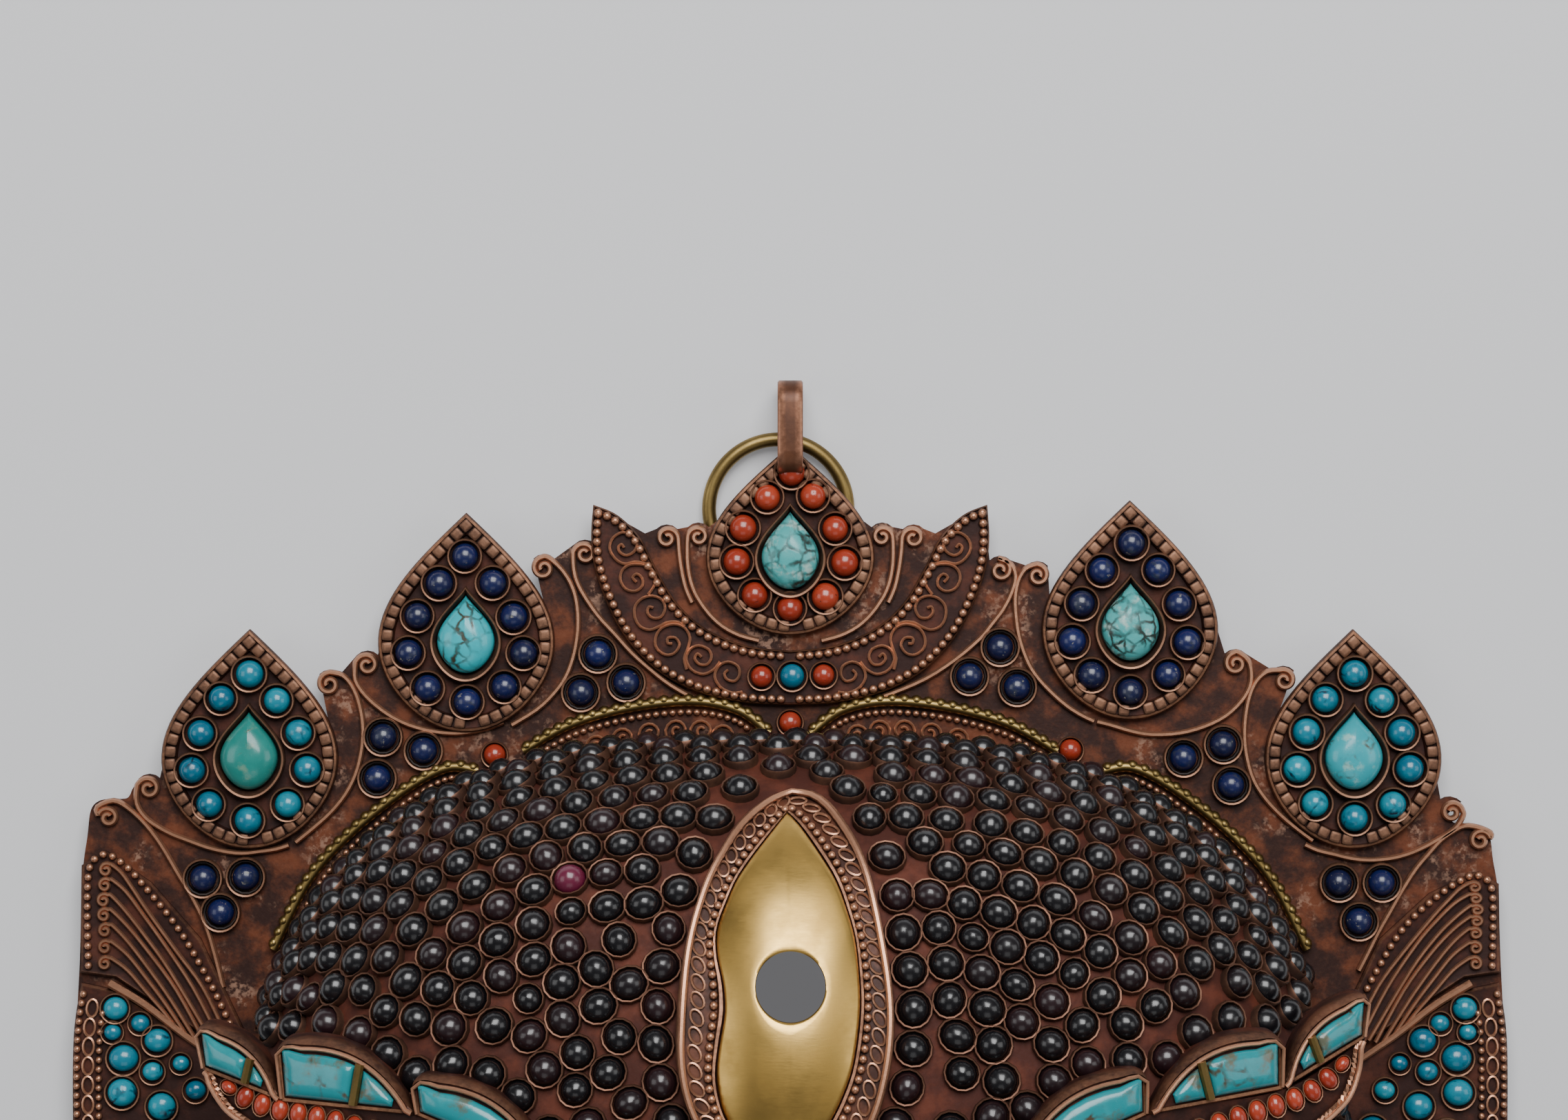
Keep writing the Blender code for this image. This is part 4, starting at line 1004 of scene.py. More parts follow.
@dataclass(frozen=True)
class FaceForm:
    """The face's outer surface: an outline square at the forehead and round at the jaw."""

    half_width: float = 116.0
    forehead: float = 126.5
    jaw: float = 135.0
    forehead_power: float = 3.0
    jaw_power: float = 2.25
    centre_y: float = -165.0
    collar: float = 8.0
    dome: float = 57.0
    gap: float = 0.9
    bed: float = 0.8

    def radius(self, angle: float) -> float:
        """Distance from the middle to the outline."""
        upper = math.sin(angle) >= 0
        length, power = (self.forehead, self.forehead_power) if upper else (self.jaw, self.jaw_power)
        return (
            (abs(math.cos(angle)) / self.half_width) ** power + (abs(math.sin(angle)) / length) ** power
        ) ** (-1 / power)

    def outline(self, angle: float, outside: float = 0.0) -> Plan:
        """A point of the outline, or one outside it."""
        reach = self.radius(angle) + outside
        return reach * math.cos(angle), self.centre_y + reach * math.sin(angle)

    def relief(self, x: float, y: float, share: float) -> float:
        """Cheeks and chin over the dome."""
        along = y - self.centre_y
        cheeks = 9 * bump(abs(x) - 62, along + 50, 27, 22)
        return step_up(0, 0.3, 1 - share) * (cheeks + 8 * bump(x, along + self.jaw * 0.84, 24, 12))

    def share(self, x: float, y: float) -> float:
        """How far out a place is, from 0 at the middle to 1 at the outline and beyond."""
        along = y - self.centre_y
        return min(1.0, math.hypot(x, along) / self.radius(math.atan2(along, x)))

    def height(self, x: float, y: float) -> float:
        """Height over the floor."""
        share = self.share(x, y)
        return self.collar + self.dome * math.sqrt(max(0.0, 1 - share**4)) + self.relief(x, y, share)

    def spoke(self, angle: float, lean: float) -> Point:
        """A point on a spoke, with lean from 0 at the middle to a quarter turn at the rim."""
        share = math.sqrt(max(0.0, math.sin(lean)))
        x, y = self.outline(angle)
        x, y = x * share, self.centre_y + (y - self.centre_y) * share
        return x, y, self.collar + self.dome * math.cos(lean) + self.relief(x, y, share)

    def normal(self, x: float, y: float) -> Vector:
        """The outward normal."""
        step = 0.4
        slope_x = (self.height(x + step, y) - self.height(x - step, y)) / (2 * step)
        slope_y = (self.height(x, y + step) - self.height(x, y - step)) / (2 * step)
        return Vector((-slope_x, -slope_y, 1)).normalized()

    def resting(self, x: float, y: float) -> float:
        """Height of what rests on the face with an even gap."""
        return self.height(x, y) + self.gap / max(0.12, self.normal(x, y).z)

    def bedded(self, x: float, y: float) -> float:
        """Height of what is bedded a little higher."""
        return self.resting(x, y) + self.bed


FACE = FaceForm()
SHEET_TOP = 6.0
PANEL_BASE = 6.3


EYE_PLATE = (
    ((-0.7, 33.3), (-3.5, 29.9), (-7.9, 24.4), (-10.8, 20.2), (-12.7, 16.0), (-14.2, 12.2), (-14.7, 9.2),
     (-14.4, 5.4), (-13.3, 0.7), (-12.9, -3.6), (-13.1, -6.6), (-14.0, -11.7), (-14.6, -17.3), (-13.9, -22.4),
     (-12.4, -26.4), (-9.2, -31.2), (-4.7, -35.6), (0.0, -38.0)),
    ((-0.7, 33.3), (2.2, 30.3), (7.0, 23.6), (9.2, 19.8), (10.9, 15.4), (12.7, 9.2), (13.5, 2.0), (13.7, -3.6),
     (13.2, -9.5), (12.1, -16.0), (10.4, -20.9), (8.4, -25.2), (5.6, -29.8), (2.6, -34.6), (0.0, -38.0)),
)
EYE_FRAME = (
    ((0.4, 37.8), (-3.6, 36.6), (-7.6, 34.1), (-11.1, 30.7), (-14.1, 26.1), (-16.7, 21.4), (-18.7, 15.9),
     (-20.4, 10.0), (-21.6, 4.0), (-22.3, -2.0), (-22.6, -7.5), (-22.6, -13.9), (-21.6, -20.4), (-19.3, -26.6),
     (-15.2, -33.0), (-9.8, -38.6), (-4.5, -42.2), (0.0, -43.2)),
    ((0.4, 37.8), (4.5, 37.4), (8.0, 35.3), (11.1, 31.5), (13.7, 27.3), (15.9, 21.8), (17.5, 15.1), (18.8, 8.3),
     (19.9, 1.9), (20.5, -4.5), (20.4, -10.9), (19.5, -17.4), (17.4, -25.2), (14.0, -32.0), (9.2, -38.2),
     (4.4, -42.0), (0.0, -43.2)),
)


def eye_outline(place: Plan, turn: float, wavy: int, share: float, count: int = 48) -> list[Plan]:
    """A loop between the edge of an eye's plate and the edge of its frame.

    Args:
        place: Its pupil.
        turn: Turn of its long axis from upright.
        wavy: -1 where the deeper wave is on the right side.
        share: 0 at the plate's edge and 1 at the frame's.
        count: Points of each side.

    Returns:
        The outline, from its upper tip round.
    """
    halves = []
    for plate, frame in zip(EYE_PLATE, EYE_FRAME):
        lines = []
        for points in (plate, frame):
            run = smooth_run(points, 8)
            legs = measured(run)
            line = [at_length(run, legs, legs[-1] * step / count) for step in range(count)]
            lines.append([*line, run[-1]])
        halves.append([Vector(a).lerp(Vector(b), share) for a, b in zip(*lines)])
    loop = [*halves[0], *reversed(halves[1][1:-1])]
    cos, sin = math.cos(turn), math.sin(turn)
    points = []
    for across, along in loop:
        across *= wavy
        points.append((place[0] + across * cos - along * sin, place[1] + across * sin + along * cos))
    return points


@dataclass(frozen=True)
class FaceShell:
    """The hollow face, with its openings behind the pupils and at the mouth."""

    sheet: float = 1.5
    spokes: int = 128
    rings: int = 56
    socket: float = 8.5
    knife_low: float = 20.0
    knife_high: float = 150.0
    steep: float = 0.985

    def build(self, eyes: Sequence["Eye"], mouth: "Mouth") -> None:
        """Models the shell and cuts its openings.

        Args:
            eyes: The eyes, whose sockets are cut.
            mouth: The mouth, whose opening is cut.
        """
        leans = [math.pi / 2 * (i + 1) / self.rings for i in range(self.rings)]
        around = full_turn(self.spokes)
        rows = [[FACE.spoke(t, lean) for t in around] for lean in leans]
        rows.append([(*FACE.outline(t), 0.0) for t in around])
        inner = [[self._inside(x, y, z) for x, y, z in row] for row in rows]
        draft = Draft()
        draft.skin([*rows, *reversed(inner)], [0.15] * len(rows) + [0.0] * len(inner), caps="first last")
        holder = placed("face_skin_whole", draft.mesh("face_skin"))
        cutters = [[polar(eye.place, self.socket, t) for t in around[::4]] for eye in eyes]
        cutters.append(mouth.line(-mouth.rim, 64))
        for number, ring in enumerate(cutters):
            cut = Draft()
            cut.skin([lifted(ring, self.knife_low), lifted(ring, self.knife_high)], caps="first last")
            knife = placed("knife", cut.mesh("knife"))
            modifier = holder.modifiers.new(f"opening {number}", "BOOLEAN")
            modifier.operation, modifier.solver, modifier.object = "DIFFERENCE", "EXACT", knife
        final = settled(holder)
        for spare in [o for o in bpy.data.objects if o.name.startswith("knife")] + [holder]:
            bpy.data.objects.remove(spare)
        dress(final, "face_skin", Finish.GROUND, ["face_shell"], 50.0)

    def _inside(self, x: float, y: float, z: float) -> Point:
        """The inner side of the sheet at a point of the outer one."""
        along = y - FACE.centre_y
        reach = math.hypot(x, along)
        share = FACE.share(x, y)
        if z <= 0.0 or share > self.steep:
            keep = (reach - self.sheet) / reach
            normal = FACE.normal(x * self.steep, FACE.centre_y + along * self.steep)
            wall = Vector((x * keep, FACE.centre_y + along * keep, z))
            bent = Vector((x, y, z)) - normal * self.sheet
            return tuple(bent.lerp(wall, step_up(self.steep, 1.0, share)))
        return tuple(Vector((x, y, z)) - FACE.normal(x, y) * self.sheet)


@dataclass(frozen=True)
class Eye:
    """A brass eye in a copper frame with pearl wire, links and an outer wire."""

    name: str
    place: Plan
    turn: float
    wavy: int
    plate: float = 1.6
    bulge: float = 4.5
    pupil: float = 6.9
    frame_height: float = 2.0

    def front(self, x: float, y: float) -> float:
        """Height of the brass plate."""
        dx, dy = x - self.place[0], y - self.place[1]
        along = -dx * math.sin(self.turn) + dy * math.cos(self.turn)
        across = dx * math.cos(self.turn) + dy * math.sin(self.turn)
        reach = min(1.0, math.hypot((along + 2) / 38, across / 16.1))
        return FACE.bedded(x, y) + self.plate + self.bulge * (1 - reach**2)

    def ring(self, share: float, count: int = 48) -> list[Plan]:
        """The loop at a share of the way from plate to frame edge."""
        return eye_outline(self.place, self.turn, self.wavy, share, count)

    def build(self, tree: ScatterTree) -> None:
        """Models the eye and its frame.

        Args:
            tree: Sets the pearls and links.
        """
        edge = self.ring(0.0)
        hole = []
        for x, y in edge:
            angle = math.atan2(y - self.place[1], x - self.place[0])
            hole.append(polar(self.place, self.pupil, angle))
        rows = [lifted(hole, lambda x, y: self.front(x, y) - self.plate)]
        for share in (0.0, 0.02, 0.08, 0.2, 0.35, 0.5, 0.65, 0.8, 0.92, 0.985, 1.0):
            ring = [part_way(a, b, share) for a, b in zip(hole, edge)]
            drop = 0.35 * (share in (0.0, 1.0)) + 0.08 * (share in (0.02, 0.985))
            rows.append(lifted(ring, lambda x, y: self.front(x, y) - drop))
        rows.append(lifted(edge, FACE.bedded))
        plate = Draft()
        plate.skin(rows, 0.5, closed=True)
        plate.piece(self.name + "_plate", Finish.PLATE, [self.name], 60.0)
        self._frame(tree)

    def _frame(self, tree: ScatterTree) -> None:
        """Models the copper frame."""
        top = self.frame_height

        def level(rise: float) -> Height:
            """A height over the bed."""
            return lambda x, y: FACE.bedded(x, y) + rise

        profile = ((0.05, 0.0, 0.0), (0.05, top, 0.5), (0.12, top + 0.1, 0.5), (0.17, top - 0.7, 0.0))
        profile += (
            (0.80, top - 1.0, 0.0), (0.84, top - 0.2, 0.6), (0.95, top, 0.9), (1.0, top - 0.6, 0.5), (1.0, 0.0, 0.0)
        )
        frame = Draft()
        frame.skin([lifted(self.ring(s), level(z)) for s, z, _ in profile], [w for *_, w in profile], closed=True)
        rim = self.ring(0.88)
        normals = [FACE.normal(x, y) for x, y in rim]
        frame.tube(lifted(rim, level(top + 0.35)), 0.72, 8, True, ups=normals)
        frame.piece(self.name + "_setting", Finish.WIRE, [self.name + "_frame"], 40.0)
        pearl_line = lifted(self.ring(0.24, 110), level(top - 0.1))
        pearls, links = strung(pearl_line, 2.07, (0.98, 0.92, 0.8), True, facing=FACE.normal), []
        for (x, y, z), along in evenly(lifted(self.ring(0.58, 110), level(top - 0.5)), 3.5, True):
            lean = along + 0.6 * FACE.normal(x, y).cross(along)
            links.append(Spot((x, y, z), (1.75, 1.75, 2.0), tuple(FACE.normal(x, y)), tuple(lean)))
        tree.scatter(self.name + "_pearls", pearls, Shape.PEARL, Finish.WIRE)
        tree.scatter(self.name + "_links", links, Shape.LINK, Finish.WIRE)


EYES = (
    Eye("third_eye", (0.0, -84.2), 0.0, 1),
    Eye("left_eye", (-60.0, -166.0), math.radians(75), 1),
    Eye("right_eye", (60.0, -166.0), -math.radians(75), -1),
)


@dataclass(frozen=True)
class Nose:
    """The nose: one ridge and two wings, with pearl wire along its sides."""

    top: float = 35.0
    length: float = 84.0
    rise: float = 31.0
    root: float = 7.5
    base: float = 25.0

    def half_width(self, share: float) -> float:
        """Half its width from root to base."""
        return self.root + (self.base - self.root) * share**1.2

    def height(self, x: float, y: float) -> float:
        """Rise over the bed."""
        share = min(1.0, max(0.0, (FACE.centre_y + self.top - y) / self.length))
        ridge = self.rise * share**1.3 * (1 - step_up(0.86, 1.0, share))
        ridge *= math.exp(-(abs(x / (0.62 * self.half_width(share))) ** 2.6))
        wing_y = FACE.centre_y + self.top - 0.87 * self.length
        wings = 13 * bump(abs(x) - 14.5, y - wing_y, 8.5, 8.5)
        return 1.2 + max(ridge, wings, 0.5 * (ridge + wings)) + 0.25 * min(ridge, wings)

    def row(self, share: float, grow: float = 0.0, columns: int = 33) -> list[Plan]:
        """One row across the nose."""
        half = self.half_width(share) * (1 - 0.45 * step_up(0.88, 1.0, share)) + grow
        y = FACE.centre_y + self.top - share * self.length
        return [(half * (2 * i / (columns - 1) - 1), y) for i in range(columns)]

    def outline(self, grow: float = 0.0) -> list[Plan]:
        """Its outline on the face."""
        rows = [self.row(i / 20, grow, 3) for i in range(21)]
        return [row[0] for row in rows] + [row[-1] for row in reversed(rows)]

    def build(self, tree: ScatterTree) -> None:
        """Models the nose.

        Args:
            tree: Sets the pearls.
        """
        draft = Draft()
        rows = []
        for i in range(61):
            plan = self.row(i / 60)
            upper = lifted(plan, lambda x, y: FACE.resting(x, y) + self.height(x, y))
            rows.append([*upper, *reversed(lifted(plan, FACE.resting))])
        draft.skin(rows, 0.45, caps="first last")
        draft.piece("nose_sheet", Finish.PANEL, ["nose"], 35.0)
        edge = [(x, y, FACE.resting(x, y) + 1.0) for x, y in self.outline(1.3)]
        pearls = strung(edge, 1.85, (0.9, 0.85, 0.9), facing=FACE.normal)
        tree.scatter("nose_pearls", pearls, Shape.PEARL, Finish.WIRE)


@dataclass(frozen=True)
class FlameRow:
    """A row of copper flames on a band, with a turquoise slab in each flame."""

    name: str
    side: int
    tips: tuple
    notches: tuple
    root: Plan
    back: tuple
    front: Height
    under: Height
    replaces: tuple
    rim: float = 2.7
    arch: float = 0.2
    bars: tuple = (3, 4)
    corals: bool = True
    corner: float = 3.0
    bar_share: float = 0.47
    bar_room: float = 1.0
    coral_pitch: float = 4.2

    def flip(self, points: Iterable[Plan]) -> list[Plan]:
        """Points of the viewer's right side on this row's side."""
        return [(x * self.side, y) for x, y in points]

    def edges(self, index: int, shares: Sequence[float]) -> tuple[list[Plan], list[Plan]]:
        """The upper and lower edges of one flame, from its root to its blunt end.

        Args:
            index: The flame.
            shares: Where the points are along it.

        Returns:
            The two edges.
        """
        starts = [self.root, *self.notches, self.back[0]]
        start, tip, end = (Vector(p) for p in (starts[index], self.tips[index], starts[index + 1]))
        run = tip - start
        left = Vector((-run.y, run.x))
        upper, lower = [], [start.lerp(end, t) for t in shares]
        for t, b in zip(shares, lower):
            a = start + run * t + left * (4 * t * (1 - t) * self.arch)
            turned = self.corner - math.sqrt(self.corner**2 - max(0.0, self.corner - (1 - t) * run.length) ** 2)
            upper.append(tuple(a.lerp(b, min(0.5, turned / max(0.1, (b - a).length)))))
        return self.flip(upper), self.flip([tuple(b) for b in lower])

    def lip(self, index: int, t: float) -> float:
        """Width of the bevelled rim at a share of a flame's length."""
        return self.rim * min(1.0, 0.3 + (1 - t) * self.length(index) / 7.0)

    def length(self, index: int) -> float:
        """A flame's length."""
        return math.dist([self.root, *self.notches][index], self.tips[index])

    def outline(self) -> list[Plan]:
        """The row's whole outline."""
        points = []
        for index in range(len(self.tips)):
            points += self.edges(index, [i / 8 for i in range(9)])[0]
        return [*points, *self.flip(self.back)]

    def build(self, tree: ScatterTree) -> None:
        """Models the flames, their band, slabs and beads.

        Args:
            tree: Sets the coral beads and cups.
        """
        body, wires, bars, slabs = Draft(), Draft(), Draft(), Draft()
        for index in range(len(self.tips)):
            self._flame(index, body, wires)
            self._slabs(index, slabs, bars)
        self._band(body, wires)
        body.piece(self.name + "_flames", Finish.PANEL, [self.replaces[0]], 35.0)
        wires.piece(self.name + "_wires", Finish.WIRE)
        slabs.piece(self.name + "_slabs", Finish.SLAB, self.replaces[1:], 40.0)
        if bars.points:
            bars.piece(self.name + "_bars", Finish.OLIVE)
        if self.corals:
            self._corals(tree)

    @staticmethod
    def _between(upper: Plan, lower: Plan, near: Sequence[float], far: Sequence[float]) -> list[Plan]:
        """Points at set distances from the upper edge, then at set distances from the lower one."""
        a, b = Vector(upper), Vector(lower)
        width = max(1e-6, (b - a).length)
        squeeze = min(1.0, 0.98 * width / (near[-1] + far[0]))
        ends = [(a, b, d) for d in near] + [(b, a, d) for d in far]
        return [tuple(start.lerp(end, d * squeeze / width)) for start, end, d in ends]

    @staticmethod
    def _relief(upper: float, lower: float) -> tuple[float, float]:
        """Rise over the front and wear, by share of the bevelled rim and distance from the lower edge."""
        bevel = (
            (0.0, -2.4, 0.45), (0.15, -1.0, 0.5), (0.5, 0.15, 0.55), (0.58, -0.25, 0.0), (1.05, -0.3, 0.0),
            (1.15, -0.6, 0.0)
        )
        low = ((0.0, -0.5, 0.5), (0.3, 0.1, 0.8), (0.9, 0.1, 0.8), (1.1, -0.6, 0.0))
        steps, distance = (bevel, upper) if upper < 1.15 else (low, lower)
        for (d0, z0, w0), (d1, z1, w1) in zip(steps, steps[1:]):
            if distance <= d1:
                share = max(0.0, (distance - d0) / (d1 - d0))
                return z0 + (z1 - z0) * share, w0 + (w1 - w0) * share
        return -0.6, 0.0

    def _flame(self, index: int, body: Draft, wires: Draft) -> None:
        """Models one flame: a bevelled rim round a sunk bed, and the bright wire on the rim."""
        length = self.length(index)
        ends = [1 - d / length for d in (3.0, 2.4, 1.8, 1.1, 0.9, 0.5, 0.25, 0.0)]
        shares = [ends[0] * i / 22 for i in range(22)] + ends
        rows, wears = [], []
        for t, a, b in zip(shares, *self.edges(index, shares)):
            rim = self.lip(index, t)
            line = self._between(a, b, [rim * s for s in (0, 0.15, 0.35, 0.5, 0.58, 1.05, 1.15)], (1.1, 0.9, 0.3, 0.0))
            row, wear = [(*a, self.under(*a))], [0.0]
            for x, y in line:
                rise, rub = self._relief(math.dist((x, y), a) / rim, min(math.dist((x, y), b), (1 - t) * length))
                row.append((x, y, self.front(x, y) + rise))
                wear.append(rub)
            rows.append([*row, (*b, self.under(*b))])
            wears.append([*wear, 0.0])
        body.skin(rows, wears, caps="first last")
        along = [0.04 + 0.955 * i / 20 for i in range(21)]
        upper, lower = self.edges(index, along)
        path = [
            self._between(a, b, (0.8 * self.lip(index, t),), (0.6,))[0] for t, a, b in zip(along, upper, lower)
        ]
        start, end = Vector(path[-1]), Vector(lower[-1])
        path += [tuple(start.lerp(end, s)) for s in (0.25, 0.5, 0.75, 0.93)]
        wires.tube(lifted(path, lambda x, y: self.front(x, y) + 0.15), 0.56, 8, taper=0.7)

    def _slabs(self, index: int, slabs: Draft, bars: Draft) -> None:
        """Models the slabs of one flame, and the bar between them."""
        rim, length = self.rim, self.length(index)
        near, far = 1.22 * rim, 1.35
        first, last = 0.16, 1 - 1.25 / length
        while first < 0.6:
            (a,), (b,) = self.edges(index, [first])
            if math.dist(a, b) > near + far + 1.2:
                break
            first += 0.03
        spans = [(first, last)]
        if index in self.bars:
            room = self.bar_room / length
            spans = [(first, self.bar_share - room), (self.bar_share + room, last)]
            (a,), (b,) = self.edges(index, [self.bar_share])
            start, end = self._between(a, b, (0.9 * rim,), (1.0,))
            run = [part_way(start, end, s) for s in (0, 0.25, 0.5, 0.75, 1)]
            bars.tube(lifted(run, lambda x, y: self.front(x, y) + 0.75), 0.95, 8)
        for low, high in spans:
            if (high - low) * length < 1.5:
                continue
            rows = []
            steps = [0.0, 0.03, 0.08, 0.16, 0.28, 0.42, 0.58, 0.72, 0.84, 0.92, 0.97, 1.0]
            shares = [low + (high - low) * s for s in steps]
            for t, a, b in zip(shares, *self.edges(index, shares)):
                start, end = self._between(a, b, (1.22 * self.lip(index, t),), (far,))
                width = math.dist(start, end)
                ends = min(t - low, high - t) * length
                row = [(*start, self.front(*start) - 0.55)]
                for s in (0.0, 0.04, 0.1, 0.2, 0.35, 0.5, 0.65, 0.8, 0.9, 0.96, 1.0):
                    x, y = part_way(start, end, s)
                    inset = min(ends, s * width, (1 - s) * width)
                    crown = math.sin(math.pi / 2 * min(1.0, inset / 2.0)) ** 0.7
                    row.append((x, y, self.front(x, y) + 0.25 + 1.35 * crown))
                rows.append([*row, (*end, self.front(*end) - 0.55)])
            slabs.skin(rows, 0.5, caps="first last")

    @staticmethod
    def _at(edge: Sequence[Plan], t: float) -> Plan:
        """A point at a share of an edge's steps."""
        place = t * (len(edge) - 1)
        index = min(len(edge) - 2, int(place))
        return part_way(edge[index], edge[index + 1], place - index)

    def _band_lines(self, steps: int = 60) -> tuple[list[Plan], list[Plan]]:
        """The upper and lower lines of the band under the flames."""
        upper = smooth_run(self.flip([self.root, *self.notches, self.back[0]]), 12)
        lower = smooth_run(self.flip(list(reversed(self.back))), 12)
        shares = [i / (steps - 1) for i in range(steps)]
        return [self._at(upper, t) for t in shares], [self._at(lower, t) for t in shares]

    def _band(self, body: Draft, wires: Draft) -> None:
        """Models the band that carries the flames."""
        upper, lower = self._band_lines()
        rows, rope, lip = [], [], []
        for a, b in zip(upper, lower):
            _, crest, inner, outer = self._between(a, b, (0.0, 0.5), (1.9, 0.7))
            front = self.front
            row = [
                (*a, self.under(*a)), (*a, front(*a) - 0.9), (*crest, front(*crest) - 1.1),
                (*inner, front(*inner) - 1.1)
            ]
            row += [(*outer, front(*outer) - 0.3), (*b, front(*b) - 0.5), (*b, self.under(*b))]
            rows.append(row)
            rope.append((*inner, front(*inner) - 0.4))
            lip.append((*outer, front(*outer) - 0.1))
        body.skin(rows, [[0, 0.1, 0.0, 0.0, 0.5, 0.4, 0]] * len(rows), caps="first last")
        wires.tube(rope[1:-1], 0.55, 4, twist=1.3)
        wires.tube(lip[1:-1], 0.6, 8)

    def _corals(self, tree: ScatterTree) -> None:
        """Sets the corals along the band."""
        upper, lower = self._band_lines(90)
        rng = random.Random(5 + self.side)
        middle, room = [], []
        for a, b in zip(upper, lower):
            width = max(0.01, math.dist(a, b))
            share = (0.4 + (width - 2.6) / 2) / width
            middle.append(part_way(a, b, share))
            room.append(width - 2.9)
        path = [(x, y, self.front(x, y) - 1.0) for (x, y), free in zip(middle, room) if free > 1.6]
        beads = []
        for (x, y, z), along in evenly(path, self.coral_pitch):
            free = min(f for (mx, my), f in zip(middle, room) if math.hypot(mx - x, my - y) < 2.2)
            tall = max(1.3, min(2.3, free / 2))
            facing = (0.25 * x / 117, 0.1, 1.0)
            beads.append(Spot((x, y, z), (1.75, tall, 1.75), facing, (along.x, along.y, 0.0), rng.random()))
        cups = [Spot(b.at, (b.size[0] + 0.3, b.size[1] + 0.3, 1.9), b.facing, b.along) for b in beads]
        tree.scatter(self.name + "_corals", beads, Shape.FINE_CABOCHON, Finish.CORAL)
        tree.scatter(self.name + "_cups", cups, Shape.CUP, Finish.CUP)


def brow_front(x: float, y: float) -> float:
    """Front of the brows, which falls back towards the temples."""
    return 76 - 26 * (abs(x) / 117) ** 2.2


def brow_under(x: float, y: float) -> float:
    """Back of the brows."""
    return max(FACE.resting(x, y), brow_front(x, y) - 12)


def flame_front(x: float, y: float) -> float:
    """Front of the moustache and beard."""
    return FACE.height(x, y) + 5.0


BROW_TIPS = {
    -1: ((24, -125), (47.5, -112), (75.3, -101.7), (103, -96), (120.2, -93)),
    1: ((22, -124.5), (44, -110.5), (70.6, -100.2), (98.4, -94.5), (116.6, -86.4)),
}
BROW_NOTCHES = {
    -1: ((22.5, -134.5), (46.5, -120.5), (73.8, -109.6), (101.5, -108)),
    1: ((20.5, -134), (42.8, -121), (70.3, -109.4), (98, -105.4)),
}
BROW_BACK = {
    -1: (
        (118, -102.5), (116.8, -106), (112, -111.5), (101, -115.4), (72, -118.6), (44, -130), (25, -141.5), (15, -149)
    ),
    1: (
        (115.2, -96), (114.4, -103), (110.8, -109.5), (101, -114.4), (72, -118.2), (44, -130), (25, -141.5), (15, -149)
    ),
}


def flame_rows() -> list[FlameRow]:
    """The brows, moustache and beard of both sides.

    Returns:
        The rows, brows first.
    """
    rows = []
    for side, word in ((-1, "left"), (1, "right")):
        nodes = ("brow_" + word, *(f"brow_turquoise_{word}_{i}" for i in range(1, 6)))
        shape = (BROW_TIPS[side], BROW_NOTCHES[side], (13, -137), BROW_BACK[side])
        rows.append(FlameRow("brow_" + word, side, *shape, brow_front, brow_under, nodes))
        shape = (((52, -190), (68, -199), (79, -212)), ((47, -204), (60, -212)), (27, -206))
        shape += (((70, -222), (52, -221), (34, -213), (27, -207)), flame_front, FACE.bedded)
        rows.append(FlameRow("moustache_" + word, side, *shape, ("moustache_" + word,), 1.5, 0.075, (), False))
        shape = (((94, -236), (80, -262), (58, -281), (32, -293)), ((79, -239), (63, -259), (42, -274)), (84, -222.5))
        shape += (((20, -290), (18, -281), (40, -267), (60, -247), (72, -226), (84, -222)), flame_front, FACE.bedded)
        rows.append(FlameRow("beard_" + word, side, *shape, ("beard_" + word,), 1.7, 0.075, (), False))
    return rows


